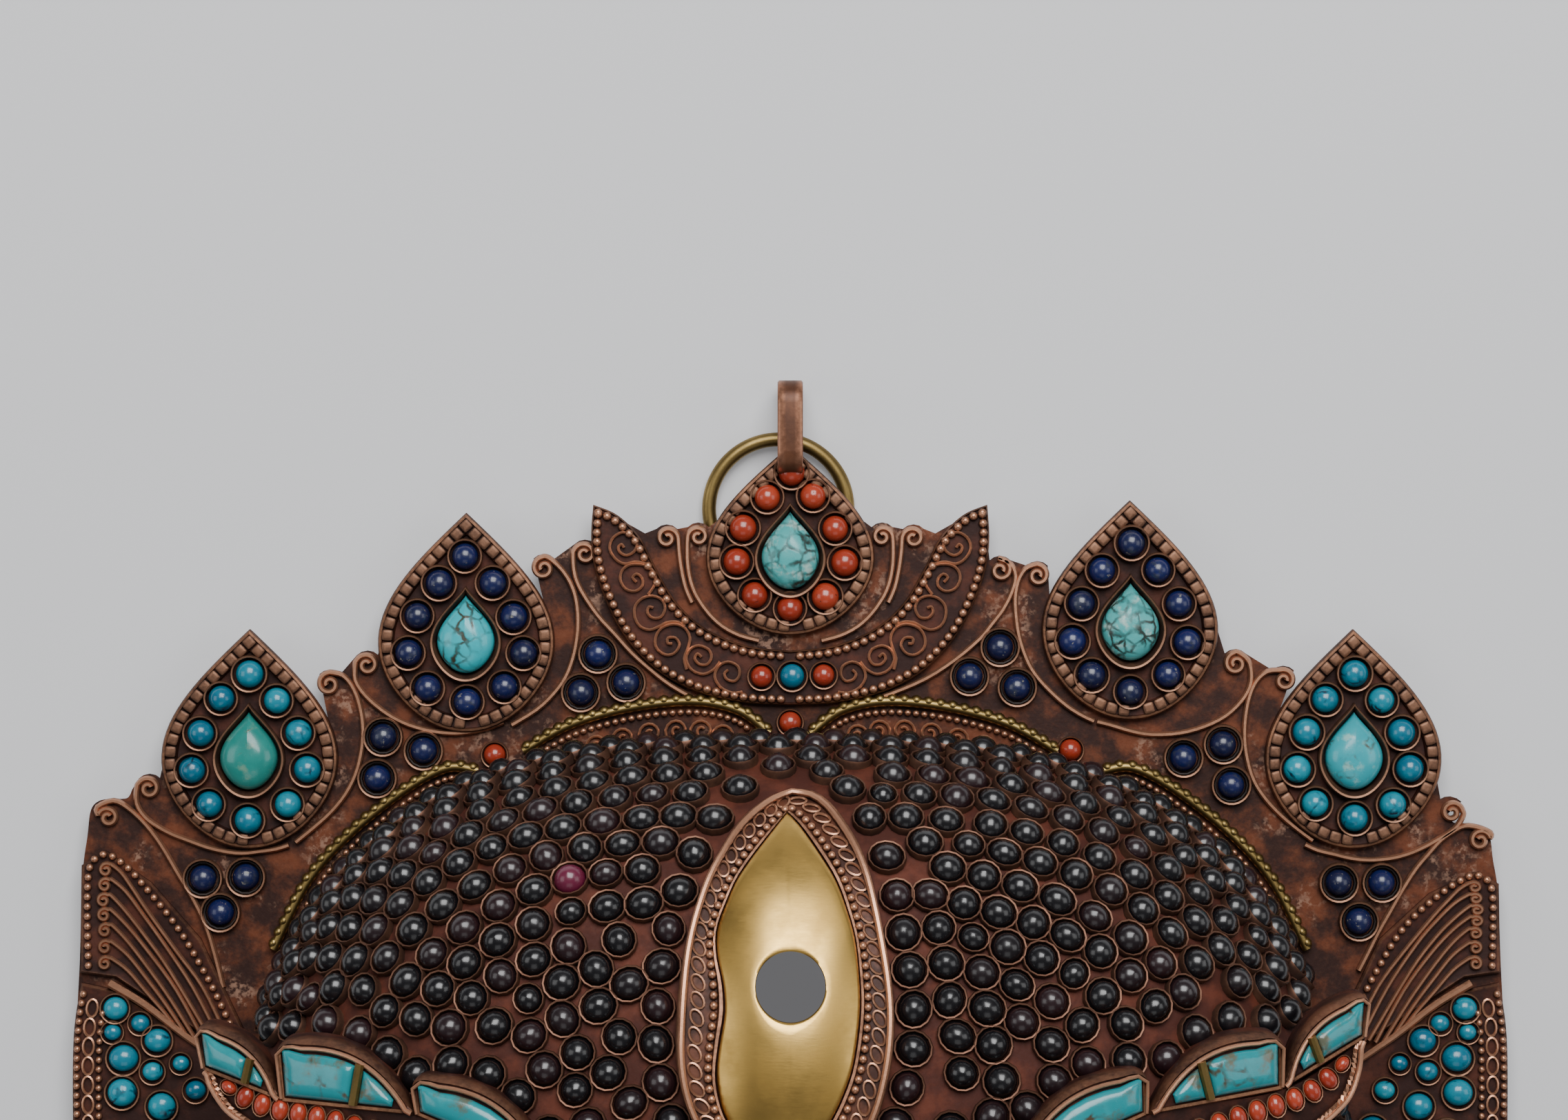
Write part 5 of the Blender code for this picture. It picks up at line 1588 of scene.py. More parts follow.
@dataclass(frozen=True)
class Mouth:
    """Copper lips set with corals, and two rows of shell teeth."""

    half_width: float = 47.0
    half_height: float = 15.0
    smile: float = 9.0
    drop: float = 84.0
    rim: float = 3.5
    lip: float = 8.0
    tooth: float = 8.5
    fang: float = 3.0
    teeth: int = 8

    @property
    def middle(self) -> float:
        """Height of its middle on the face."""
        return FACE.centre_y - self.drop

    def line(self, grow: float, count: int = 72) -> list[Plan]:
        """The mouth's outline, grown."""
        points = []
        for angle in full_turn(count):
            x = (self.half_width + grow) * math.cos(angle)
            rise = self.smile * min(1.0, (x / self.half_width) ** 2)
            points.append((x, self.middle + rise + (self.half_height + grow) * math.sin(angle)))
        return points

    def build(self, tree: ScatterTree) -> None:
        """Models lips and teeth.

        Args:
            tree: Sets the corals.
        """
        lips = Draft()
        profile = ((1.5, 0.0, 0), (1.5, 1.0, 0.3), (2.2, 2.6, 0.7), (3.2, 3.2, 0.8), (3.7, 2.0, 0.1), (7.2, 2.0, 0.1))
        profile += ((7.7, 3.4, 0.8), (8.8, 2.6, 0.6), (9.5, 1.0, 0.2), (9.5, 0.0, 0))
        rows = [lifted(self.line(g), lambda x, y: FACE.bedded(x, y) + z) for g, z, _ in profile]
        lips.skin(rows, [w for *_, w in profile], closed=True)
        lips.piece("lips_copper", Finish.PANEL, ["lips"], 45.0)
        rng = random.Random(17)
        path = lifted(self.line(5.45, 160), lambda x, y: FACE.bedded(x, y) + 2.0)
        beads = [
            Spot(at, (2.2, 1.75, 1.9), tuple(FACE.normal(at[0], at[1])), tuple(way), rng.random())
            for at, way in evenly(path, 4.9, True)
        ]
        tree.scatter("lip_corals", beads, Shape.CABOCHON, Finish.CORAL)
        for word, way in (("upper", 1), ("lower", -1)):
            draft = Draft()
            half = 0.62 * self.half_width
            pitch = 2 * half / self.teeth
            for number in range(self.teeth):
                fang = number in ((1, self.teeth - 2) if way > 0 else (0, self.teeth - 1))
                self._tooth(draft, -half + (number + 0.5) * pitch, pitch * 0.47, way, fang)
            draft.piece(f"teeth_{word}_row", Finish.SHELL, ["teeth_" + word])

    def _tooth(self, draft: Draft, middle: float, half: float, way: int, fang: bool) -> None:
        """Models one tooth from its gum down."""
        share = middle / self.half_width
        gum = self.middle + self.smile * share**2 + way * (self.half_height * math.sqrt(1 - share**2) - 1)
        length = self.tooth + (self.fang if fang else 0.0)
        rows = []
        for t in (0.0, 0.2, 0.5, 0.75, 0.92, 1.0):
            if fang:
                narrow = 1 - t**1.3 * 0.93
            else:
                narrow = math.sqrt(max(0.02, 1 - (max(0, t - 0.55) / 0.45) ** 2.4)) * (1 - 0.06 * t)
            y = gum - way * length * t
            row = []
            for a in full_turn(12):
                x = middle + half * narrow * math.cos(a)
                row.append((x, y, FACE.bedded(x, y) + 1.6 + 1.6 * math.sin(a) * (0.5 + 0.5 * narrow)))
            rows.append(row)
        draft.skin(rows, 0.5, caps="first last")


@dataclass(frozen=True)
class GarnetField:
    """Garnets in copper cups, packed over the face in rows that follow its outline."""

    first_row: float = 4.0
    row_step: float = 6.7
    pitch: float = 7.7
    reach: float = 7.35
    least: float = 6.0
    offered: float = 6.4
    closest: float = 6.3
    fills: int = 5
    seed: int = 41
    spoke_count: int = 180
    spoke_steps: int = 90
    outline_pitch: float = 3.55
    foot_offered: float = 3.0
    foot_relaxed: float = 4.0
    foot_filled: float = 4.2
    stone: Plan = (3.25, 3.7)
    cup: Plan = (3.85, 4.0)

    @staticmethod
    def _onto(place: Vector) -> Vector:
        """The point of the face's surface nearest to a place, by its spoke and lean."""
        x, along = place.x, place.y - FACE.centre_y
        angle = math.atan2(along, x)
        share = FACE.share(x, place.y)
        rise = (place.z - FACE.collar - FACE.relief(x, place.y, share)) / FACE.dome
        lean = min(math.pi / 2, math.atan2(share**2, max(0.0, rise)))
        return Vector(FACE.spoke(angle, lean))

    @staticmethod
    def _blocked(place: Vector, boxes: Sequence[tuple], ease: float = 0.0) -> bool:
        """Whether another piece is too near."""
        for outline, margin, left, right, low, high in boxes:
            if left < place.x < right and low < place.y < high:
                plan = (place.x, place.y)
                if inside(plan, outline) or edge_distance(plan, outline) < margin - ease:
                    return True
        return False

    @staticmethod
    def _cells(places: Sequence[Vector], size: float) -> dict[tuple, list[int]]:
        """The numbers of the places in each cell of a grid."""
        cells: dict[tuple, list[int]] = {}
        for number, place in enumerate(places):
            cells.setdefault(tuple(int(c // size) for c in place), []).append(number)
        return cells

    def _near(self, place: Vector, cells: dict[tuple, list[int]]) -> Iterable[int]:
        """Numbers in the cells round a place."""
        cell = [int(c // self.reach) for c in place]
        for steps in product((-1, 0, 1), repeat=3):
            yield from cells.get(tuple(c + step for c, step in zip(cell, steps)), ())

    def _relax(self, places: list[Vector], boxes: Sequence[tuple], rounds: int) -> None:
        """Pushes places apart until they are evenly spread."""
        for _ in range(rounds):
            cells = self._cells(places, self.reach)
            moved = []
            for number, place in enumerate(places):
                push = Vector((0, 0, 0))
                for other in self._near(place, cells):
                    gap = place - places[other]
                    if other != number and gap.length < self.reach:
                        push += gap.normalized() * (self.reach - gap.length)
                target = self._onto(place + push * 0.3)
                moved.append(
                    target if target.z > FACE.collar + self.foot_relaxed and not self._blocked(target, boxes) else place
                )
            places[:] = moved

    def _fill(self, places: list[Vector], boxes: Sequence[tuple]) -> None:
        """Adds places where there is room for one more."""
        cells = self._cells(places, self.reach)
        for ring in range(1, 100):
            lean = math.pi / 2 * ring / 100
            count = int(30 + 4 * ring)
            for turn in range(count):
                place = Vector(FACE.spoke(2 * math.pi * turn / count, lean))
                if place.z < FACE.collar + self.foot_filled or self._blocked(place, boxes, 0.3):
                    continue
                if all((place - places[n]).length > self.least for n in self._near(place, cells)):
                    cells.setdefault(tuple(int(c // self.reach) for c in place), []).append(len(places))
                    places.append(place)

    def _offer(self, places: list[Vector], place: Vector, boxes: Sequence[tuple]) -> None:
        """Adds a place where nothing is near it."""
        place = self._onto(place)
        if place.z > FACE.collar + self.foot_offered and not self._blocked(place, boxes):
            if all((place - other).length > self.offered for other in places):
                places.append(place)

    def spots(self, keep_out: Sequence[tuple[Sequence[Plan], float]]) -> list[Spot]:
        """Places the garnets.

        Args:
            keep_out: Outlines of other pieces, and how far a stone's middle stays off each.

        Returns:
            The stones' places.
        """
        rng = random.Random(self.seed)
        boxes = []
        for outline, margin in keep_out:
            xs, ys = [p[0] for p in outline], [p[1] for p in outline]
            boxes.append((outline, margin, min(xs) - margin, max(xs) + margin, min(ys) - margin, max(ys) + margin))
        leans = [math.pi / 2 * (1 - i / self.spoke_steps) for i in range(self.spoke_steps + 1)]
        runs = [[FACE.spoke(angle, lean) for lean in leans] for angle in full_turn(self.spoke_count)]
        spokes = [(run, measured(run)) for run in runs]
        places: list[Vector] = []
        for outline, margin, *_ in boxes:
            for ((x, y), along), way in product(evenly([*outline, outline[0]], self.outline_pitch), (-1, 1)):
                x, y = x + along.y * way * (margin + 0.2), y - along.x * way * (margin + 0.2)
                self._offer(places, Vector((x, y, FACE.height(x, y))), boxes)
        for row in range(40):
            distance = self.first_row + row * self.row_step
            if distance > min(legs[-1] for _, legs in spokes) - 6:
                break
            loop = [at_length(run, legs, distance) for run, legs in spokes]
            for at, _ in evenly(loop, self.pitch, True, 0.5 * (row % 2) + 0.25):
                self._offer(places, Vector(at), boxes)
        for _ in range(self.fills):
            self._relax(places, boxes, 8)
            self._fill(places, boxes)
        self._relax(places, boxes, 12)
        kept: list[Vector] = []
        for place in places:
            if all((place - other).length > self.closest for other in kept):
                kept.append(place)
        found = []
        for place in kept:
            x, y = place.x, place.y
            size, lean = rng.uniform(0.95, 1.04) * (0.88 if rng.random() < 0.06 else 1.0), rng.uniform(0.95, 1.07)
            along = (y - FACE.centre_y, -x, 0.0)
            shape = (size * lean, size / lean, size)
            found.append(Spot(tuple(place), shape, self._facing(place), along, rng.random()))
        return found

    @staticmethod
    def _facing(place: Vector) -> tuple:
        """The direction that a stone faces."""
        along = place.y - FACE.centre_y
        pull = 1.0 / FACE.radius(math.atan2(along, place.x)) ** 2
        if place.z < FACE.collar + 0.55 * FACE.dome:
            share = math.hypot(place.x, along) ** 2 * pull
            rise = max(0.02, (place.z - FACE.collar) / FACE.dome)
            flat = Vector((place.x, along, 0)).normalized() * (2 * share**1.5 * FACE.dome / math.sqrt(1 / pull))
            return tuple((flat + Vector((0, 0, rise))).normalized())
        return tuple(FACE.normal(place.x, place.y))

    def build(self, tree: ScatterTree, keep_out: Sequence[tuple[Sequence[Plan], float]]) -> None:
        """Sets the stones and their cups.

        Args:
            tree: Sets the shapes.
            keep_out: As for spots.
        """
        spots = self.spots(keep_out)
        LOG.info("garnets: %d", len(spots))
        (stone, tall), (cup, wall) = self.stone, self.cup
        stones, cups = [], []
        for s in spots:
            a, b, c = s.size
            stones.append(Spot(s.at, (stone * a, stone * b, tall * c), s.facing, s.along, s.tint))
            cups.append(Spot(s.at, (cup * a, cup * b, wall), s.facing, s.along, s.tint))
        tree.scatter("garnet_stones", stones, Shape.CABOCHON, Finish.GARNET)
        tree.scatter("garnet_cups", cups, Shape.CUP, Finish.DULL_CUP)


# Crown and wings


LEAF_PLACES = ((-113.3, -14.5), (-67.9, 9.9), (0.0, 24.0), (71.2, 12.5), (118.0, -14.5))


def sag(points: Iterable[Plan]) -> list[Plan]:
    """Points with the viewer's right corner of the crown let down a little, as the picture shows it."""
    return [(x, y - 5.2 * step_up(118, 141, x) * step_up(-84, -54, y)) for x, y in points]


@dataclass(frozen=True)
class CrownSheet:
    """The flat horseshoe of sheet behind crown and wings."""

    low: float = 4.8
    top: float = SHEET_TOP
    valley: float = 3.0
    curls: tuple = (
        ((19.3, 4.9), (25.9, 4.5)), ((43.1, 1.3), (51.7, -1.7)), ((88.8, -22.0), (96.7, -26.0)), ((134.6, -47.9),)
    )
    right_curls: tuple = (
        ((19.3, 4.9), (25.9, 4.5)), ((44.1, -2.1), (51.9, -3.2)), ((93.5, -21.7), (103.6, -25.2)), ((138.8, -47.6),)
    )
    horn: tuple = ((30.5, 5.6), (35.8, 8.6), (40.6, 10.6))
    corner: tuple = (
        (138.2, -48.2), (139.3, -50.0), (142.6, -50.2), (145.2, -50.6), (146.9, -52.6), (147.6, -58.0), (148.6, -66.0)
    )
    ear: tuple = (
        (149.2, -84.0), (149.9, -100.0), (149.9, -120.0), (149.0, -140.0), (145.5, -160.0), (138.5, -180.0),
        (127.5, -198.0), (116.0, -209.8),
    )

    def _valley(self, side: int, number: int) -> list[Plan]:
        """The edge over the curls between two leaves, going outwards."""
        run = []
        for x, y in (self.curls if side < 0 else self.right_curls)[number]:
            arc = [polar((x, y), self.valley, a) for a in (2.4, 2.0, 1.57, 1.15, 0.75)]
            run += [(side * across, up) for across, up in arc]
        return run

    def outline(self) -> list[Plan]:
        """The sheet's outline."""
        halves = []
        for side in (1, -1):
            run = [*self._valley(side, 0), *((x * side, y) for x, y in self.horn), *self._valley(side, 1)]
            outward = sorted((p for p in LEAF_PLACES if p[0] * side > 0), key=lambda p: abs(p[0]))
            for number, (cx, tip) in enumerate(outward):
                drop = teardrop(35.6, 44.6, 72, (cx, tip - 23.0))
                run += sorted([*drop[-17:], *drop[:18]], key=lambda p: p[0] * side) + self._valley(side, number + 2)
            run += [(x * side, y) for x, y in smooth_run([*self.corner, *self.ear], 5)]
            halves.append(sag(run))
        centre = teardrop(34.2, 38.6, 72, (0.0, 24.0 - 19.9))
        arc = sorted([p for p in [*centre[-17:], *centre[:18]] if p[1] > 8.5], key=lambda p: p[0])
        turns = [math.radians(-22.5 + 225 * i / 120) for i in range(121)]
        inner = [FACE.outline(t, 0.5) for t in turns]
        return [*reversed(halves[1]), *arc, *halves[0], *inner]

    def build(self) -> None:
        """Models the sheet."""
        outline = self.outline()
        draft = Draft()
        rows = [lifted(outline, self.low), lifted(outline, self.top)]
        draft.skin(rows, [0.1, 0.35], caps="first last")
        draft.piece("crown_back", Finish.SHEET, ["crown_sheet"], 35.0)


@dataclass(frozen=True)
class Leaf:
    """A dished crown leaf with a square-beaded border, ten beads and one drop stone."""

    number: int
    stone: Finish
    drop_finish: Finish
    width: float = 37.0
    height: float = 46.0
    thickness: float = 2.6
    dish: float = 1.6
    join: float = 1.5
    join_half: float = 1.2
    jitter: float = 0.3
    cup: Plan = (3.8, 6.6)
    bead: Plan = (2.85, 3.1)
    beads: tuple = ((0.0, 35.6), (5.6, 30.2), (10.0, 23.6), (11.8, 16.0), (8.0, 9.0), (0.0, 6.0))

    @property
    def centre(self) -> Plan:
        """The leaf's middle."""
        x, tip = LEAF_PLACES[self.number - 1]
        return x, tip - self.height / 2

    def ring(self, inset: float, count: int = 88) -> list[Plan]:
        """The leaf's outline, moved inwards."""
        x, y = self.centre
        return teardrop(self.width - 2 * inset, self.height - 2.4 * inset, count, (x, y - 0.2 * inset))

    def build(self, tree: ScatterTree, settings: Settings) -> None:
        """Models the leaf.

        Args:
            tree: Sets its border beads.
            settings: Takes its beads and their cups.
        """
        cx, cy = self.centre
        name = f"crown_leaf_{self.number}"
        base, top = PANEL_BASE, PANEL_BASE + self.thickness
        steps = ((0.0, base, 0), (0.0, top - 0.7, 0.4), (0.3, top - 0.1, 0.7), (0.75, top, 0.6), (0.95, top - 0.6, 0.0))
        steps += ((2.95, top - 0.7, 0.0), (3.15, top - 0.25, 0.45), (3.4, top - 1.5, 0.0), (6.0, top - 1.6, 0.05))
        leaf = Draft()
        leaf.skin([lifted(self.ring(inset), z) for inset, z, _ in steps], [w for *_, w in steps], caps="first last")
        leaf.piece(name + "_panel", Finish.PANEL, [name], 38.0)
        border = strung(lifted(self.ring(1.95, 176), top - 0.45), 2.6, (1.22, 1.2, 0.95), True, 0.0)
        beads = [b for b in border if b.at[1] >= cy or abs(b.at[0] - cx - self.join) >= self.join_half]
        tree.scatter(name + "_beads", beads, Shape.SQUARE_BEAD, Finish.CUP)
        self._stones(top - self.dish, settings)
        self._drop(name, top - self.dish)

    def _stones(self, floor: float, settings: Settings) -> None:
        """Places the ten beads."""
        cx, tip = LEAF_PLACES[self.number - 1]
        bottom = tip - self.height
        grow = self.height / 44.5
        rng = random.Random(100 + self.number)
        for x, y in self.beads:
            for side in (1, -1) if x else (1,):
                px = cx + side * x * self.width / 36.5 + rng.uniform(-self.jitter, self.jitter)
                py = bottom + y * grow + rng.uniform(-self.jitter, self.jitter)
                size = rng.uniform(0.96, 1.03)
                cup, bead = (self.cup[0] * size, self.cup[1]), (self.bead[0] * size, self.bead[1])
                settings.add(self.stone, (px, py, floor), cup, 0.9, bead, rng)

    def _drop(self, name: str, floor: float) -> None:
        """Models the drop stone and its setting."""
        cx, tip = LEAF_PLACES[self.number - 1]
        middle = (cx, tip - self.height + 19.9 * self.height / 44.5)
        setting = Draft()
        wall = (
            (15.0, 20.0, 0.0, 0), (15.2, 20.2, 2.9, 0.45), (14.7, 19.7, 3.6, 1.0), (13.9, 18.9, 3.5, 0.8),
            (13.3, 18.1, 2.7, 0.1)
        )
        wall += ((12.7, 17.2, 2.0, 0), (12.4, 16.8, 0.0, 0))
        rows = [lifted(teardrop(w, h, 64, middle, 0.86), floor + z) for w, h, z, _ in wall]
        setting.skin(rows, [w for *_, w in wall], closed=True)
        setting.piece(name + "_setting", Finish.CUP)
        stone = Draft()
        rows = [lifted(teardrop(12.1, 16.3, 64, middle, 0.86), floor + 0.3)]
        for i in range(9):
            angle = math.radians(88 * i / 8)
            share = math.cos(angle) ** 0.85
            low = (middle[0], middle[1] - 1.2 * (1 - share))
            line = teardrop(12.0 * share, 16.2 * share, 64, low, 0.86 - 0.1 * (1 - share))
            rows.append(lifted(line, floor + 2.3 + 3.6 * math.sin(angle)))
        stone.skin(rows, 0.5, caps="first last")
        mesh = stone.mesh(name + "_stone")
        values = [0.15 + 0.7 * random.Random(self.number).random()] * len(mesh.vertices)
        mesh.attributes.new("tint", "FLOAT", "POINT").data.foreach_set("value", values)
        dress(mesh, name + "_stone", self.drop_finish, [f"leaf_drop_{self.number}"], 60.0)


SCROLLS = (
    ((-29.3, -1.2), (-31.2, -0.5), (-32.7, -0.4), (-34.6, -0.8), (-36.2, -0.1), (-37.5, 1.5), (-37.8, 3.1),
     (-37.0, 4.8), (-35.1, 5.8), (-33.0, 5.1), (-32.1, 3.4), (-32.7, 1.8), (-34.3, 1.0), (-35.6, 1.6), (-36.0, 2.7),
     (-35.3, 3.3),
     (-34.8, 2.6)),
    ((-29.8, -7.2), (-28.6, -5.6), (-28.2, -3.7), (-29.0, -2.0), (-30.7, -1.0), (-33.3, -0.9), (-35.1, -2.0),
     (-35.6, -4.0), (-34.5, -6.0), (-32.5, -6.5), (-31.0, -5.4), (-31.0, -3.8), (-32.1, -2.9), (-33.0, -3.6),
     (-32.2, -4.6)),
    ((-22.1, -13.9), (-23.4, -13.0), (-25.6, -13.0), (-27.5, -13.9), (-29.4, -14.6), (-31.4, -13.9), (-32.5, -12.0),
     (-32.5, -9.7), (-31.0, -8.0), (-28.8, -7.5), (-26.9, -8.3), (-26.2, -10.1), (-27.1, -11.9), (-28.8, -12.1),
     (-29.9, -11.0), (-29.6, -9.8), (-28.7, -10.0)),
    ((-21.7, -22.9), (-22.2, -20.6), (-21.4, -18.3), (-21.0, -16.2), (-22.1, -14.2), (-24.3, -13.4), (-26.9, -14.2),
     (-28.2, -16.2), (-28.0, -18.4), (-26.2, -19.8), (-24.3, -19.5), (-23.2, -17.8), (-24.0, -16.3), (-25.6, -16.3),
     (-25.6, -17.4), (-24.7, -17.5)),
    ((-14.7, -21.3), (-16.0, -22.9), (-18.2, -23.9), (-20.6, -23.0), (-21.8, -20.8), (-21.0, -18.7), (-19.2, -17.9),
     (-17.1, -18.7), (-16.5, -20.3), (-17.4, -21.8), (-19.0, -21.8), (-20.0, -20.6), (-19.4, -19.6), (-18.6, -20.3)),
    ((-10.0, -27.6), (-12.2, -27.8), (-14.6, -26.6), (-15.8, -24.4), (-15.0, -22.2), (-13.0, -21.3), (-11.0, -22.2),
     (-10.6, -24.0), (-11.6, -25.3), (-13.2, -25.0), (-13.8, -23.8), (-13.0, -23.0)),
)


@dataclass(frozen=True)
class Crescent:
    """The crescent that cups the middle leaf."""

    outer: tuple = (
        (41.3, 11.6), (41.7, 3.5), (40.2, -4.6), (35.4, -15.0), (28.4, -22.8), (19.6, -27.6), (9.6, -29.9), (0.0, -30.4)
    )
    inner: tuple = ((0.0, -19.0), (9.0, -18.0), (17.4, -14.6), (23.6, -9.2), (28.0, -2.0), (31.4, 4.6), (36.2, 9.4))

    def build(self, tree: ScatterTree, settings: Settings) -> None:
        """Models the crescent.

        Args:
            tree: Sets its pearls.
            settings: Takes its beads and their cups.
        """
        right = smooth_run(self.outer, 6)
        inner = smooth_run([*self.inner, self.outer[0]], 6)
        outline = [(-x, y) for x, y in right[:-1]] + list(reversed(right))
        outline += list(reversed(inner))[1:-1] + [(-x, y) for x, y in inner[:-1]]
        draft, wires = Draft(), Draft()
        top = PANEL_BASE + 2.2
        rings = [(0.0, PANEL_BASE, 0), (0.0, top - 0.4, 0.5), (-0.3, top, 0.6), (-0.6, top - 0.5, 0.0)]
        loops = [lifted(offset(outline, inset) if inset else outline, z) for inset, z, _ in rings]
        draft.skin(loops, [w for *_, w in rings], caps="first last")
        draft.piece("crescent_panel", Finish.PANEL, ["crescent"], 38.0)
        pearls = []
        inset = offset([*right, *inner], -1.25)
        lines = (inset[1 : len(right) - 1], inset[len(right) + 1 : -1])
        for side in (1, -1):
            for line in lines:
                path = lifted([(x * side, y) for x, y in line], top + 0.05)
                pearls += strung(path, 1.95, (1.03, 0.98, 0.9))
            for scroll in SCROLLS:
                path = smooth_run([(-x * side, y) for x, y in scroll], 3)
                wires.tube(lifted(path, top + 0.1), 0.34, 6, squash=1.7)
        tree.scatter("crescent_pearls", pearls, Shape.PEARL, Finish.WIRE)
        wires.piece("crescent_scrolls", Finish.WIRE)
        rng = random.Random(7)
        for x, y, finish in ((-6.0, -24.4, Finish.CORAL), (0.4, -24.3, Finish.TURQUOISE), (7.0, -24.1, Finish.CORAL)):
            size = 1.06 if finish is Finish.TURQUOISE else 0.95
            settings.add(finish, (x, y, top - 0.4), (3.2 * size, 4.4), 0.7, (2.4 * size, 2.3), rng)


@dataclass(frozen=True)
class Curl:
    """One cradle wire: a curl at its open end and a run from there."""

    centre: Plan
    start: float
    turns: float
    run: tuple
    radius: float = 2.45

    def path(self) -> list[Plan]:
        """The wire's path from the middle of its curl."""
        curl = spiral(self.centre, self.radius, self.start, self.turns, 0.26, 24)
        return smooth_run([*reversed(curl), *self.run], 3)

    def mirrored(self) -> "Curl":
        """The same wire on the other side."""
        run = tuple((-x, y) for x, y in self.run)
        return Curl((-self.centre[0], self.centre[1]), 180 - self.start, -self.turns, run, self.radius)


CURLS = (
    Curl((-96.7, -26.0), 80, 1.35, (
        (-93.9, -24.2), (-92.1, -26.1), (-90.7, -29.1), (-89.8, -33.1), (-89.6, -36.9), (-90.1, -40.9), (-91.2, -45.0),
        (-93.3, -49.1), (-96.3, -52.8), (-99.7, -55.9), (-103.7, -59.2))),
    Curl((-134.6, -47.9), 175, -1.4, (
        (-137.1, -51.0), (-135.3, -53.9), (-132.6, -55.9), (-129.6, -57.5), (-126.5, -58.7), (-122.4, -60.2),
        (-118.7, -61.1), (-115.0, -61.5), (-111.2, -61.1), (-107.8, -60.6), (-105.2, -59.8))),
    Curl((-88.8, -22.0), 178, -1.4, (
        (-91.2, -25.2), (-89.2, -28.3), (-86.5, -30.8), (-83.5, -32.9), (-79.9, -34.6), (-75.6, -35.8), (-71.3, -36.3),
        (-67.7, -36.1), (-63.4, -35.2), (-60.2, -34.0))),
    Curl((-51.7, -1.7), 80, 1.35, (
        (-50.0, 0.0), (-48.0, -1.9), (-46.4, -4.2), (-45.3, -6.8), (-44.7, -9.7), (-44.5, -13.0), (-44.8, -16.8),
        (-45.6, -20.6), (-47.1, -24.5), (-49.6, -28.0), (-53.2, -31.4), (-58.4, -34.6))),
    Curl((-43.1, 1.3), 182, -1.4, (
        (-45.4, -1.7), (-44.8, -4.3), (-43.2, -7.5), (-40.3, -11.7), (-36.8, -15.5), (-33.3, -19.4), (-29.4, -22.9),
        (-25.0, -26.3), (-19.2, -29.6))),
    Curl((-25.8, 4.6), -5, 1.35, ((-23.3, 1.8), (-22.8, -2.0), (-21.9, -5.9), (-20.6, -8.9)), 2.35),
    Curl((-19.3, 4.9), 182, -1.35, (
        (-21.6, 2.6), (-21.5, -0.8), (-20.9, -4.3), (-19.6, -7.6), (-17.1, -11.2), (-14.2, -13.9), (-10.6, -15.8),
        (-6.6, -16.9)), 2.2),
    Curl((44.1, -2.1), 100, -1.35, (
        (46.3, -0.9), (47.3, -3.4), (46.5, -6.7), (44.7, -10.3), (42.5, -13.2), (39.8, -16.5), (34.6, -20.9),
        (28.4, -24.9), (21.2, -28.0), (13.8, -30.6))),
    Curl((51.9, -3.2), 100, -1.35, (
        (49.3, -1.9), (47.8, -4.5), (47.2, -8.1), (47.4, -12.0), (48.0, -16.0), (49.4, -20.4), (51.3, -23.9),
        (54.4, -27.4), (57.9, -30.5), (61.0, -32.5), (63.7, -33.8)), 2.3),
    Curl((93.5, -21.7), 80, 1.4, (
        (96.0, -21.0), (96.7, -23.6), (96.4, -26.5), (94.6, -29.6), (91.3, -32.7), (86.9, -34.9), (81.7, -36.3),
        (76.0, -36.6), (71.6, -35.9), (67.2, -34.6), (64.4, -33.9)), 2.4),
    Curl((103.6, -25.2), 115, -1.35, (
        (100.1, -23.4), (97.9, -25.2), (96.4, -28.3), (95.5, -32.7), (95.3, -37.5), (95.9, -42.0), (97.3, -46.4),
        (99.8, -50.2), (103.0, -53.6), (106.6, -56.6), (109.6, -58.8)), 2.3),
    Curl((-143.1, -54.0), 165, -1.35, (
        (-145.3, -51.8), (-142.0, -50.5), (-139.0, -51.9), (-135.3, -55.3), (-131.9, -59.8), (-128.5, -65.6),
        (-125.1, -71.3), (-122.4, -77.1), (-120.4, -83.9), (-119.0, -89.6)), 2.2),
    Curl(
        (138.8, -52.9), 5, 1.4,
        (
            (141.2, -53.6), (139.9, -55.8), (137.9, -57.4), (135.8, -58.6), (133.5, -59.9), (130.5, -61.3),
            (127.2, -62.3), (123.9, -62.8), (120.6, -62.9), (117.3, -62.5), (114.0, -61.7), (110.7, -60.9),
            (108.0, -59.7)
        ),
        2.3
    ),
    Curl(
        (144.7, -58.8), 15, 1.35,
        (
            (146.9, -57.2), (144.4, -56.1), (141.4, -55.8), (138.9, -57.0), (136.4, -58.8), (133.8, -61.7),
            (131.2, -64.8), (128.5, -69.0), (125.9, -73.6), (123.3, -78.2), (121.3, -82.2), (119.3, -86.1)
        ),
        2.3
    ),
)
MIDDLE_CURLS = slice(5, 7)


@dataclass(frozen=True)
class Cradles:
    """Copper wires that cup the leaves and curl at the crown's edge."""

    wire: float = 0.66
    level: float = SHEET_TOP + 0.7

    def build(self) -> None:
        """Models the wires."""
        draft = Draft()
        for curl in (*CURLS, *(c.mirrored() for c in CURLS[MIDDLE_CURLS])):
            draft.tube(lifted(curl.path(), self.level), self.wire, 8, squash=1.7)
        draft.piece("cradle_wires", Finish.WIRE)


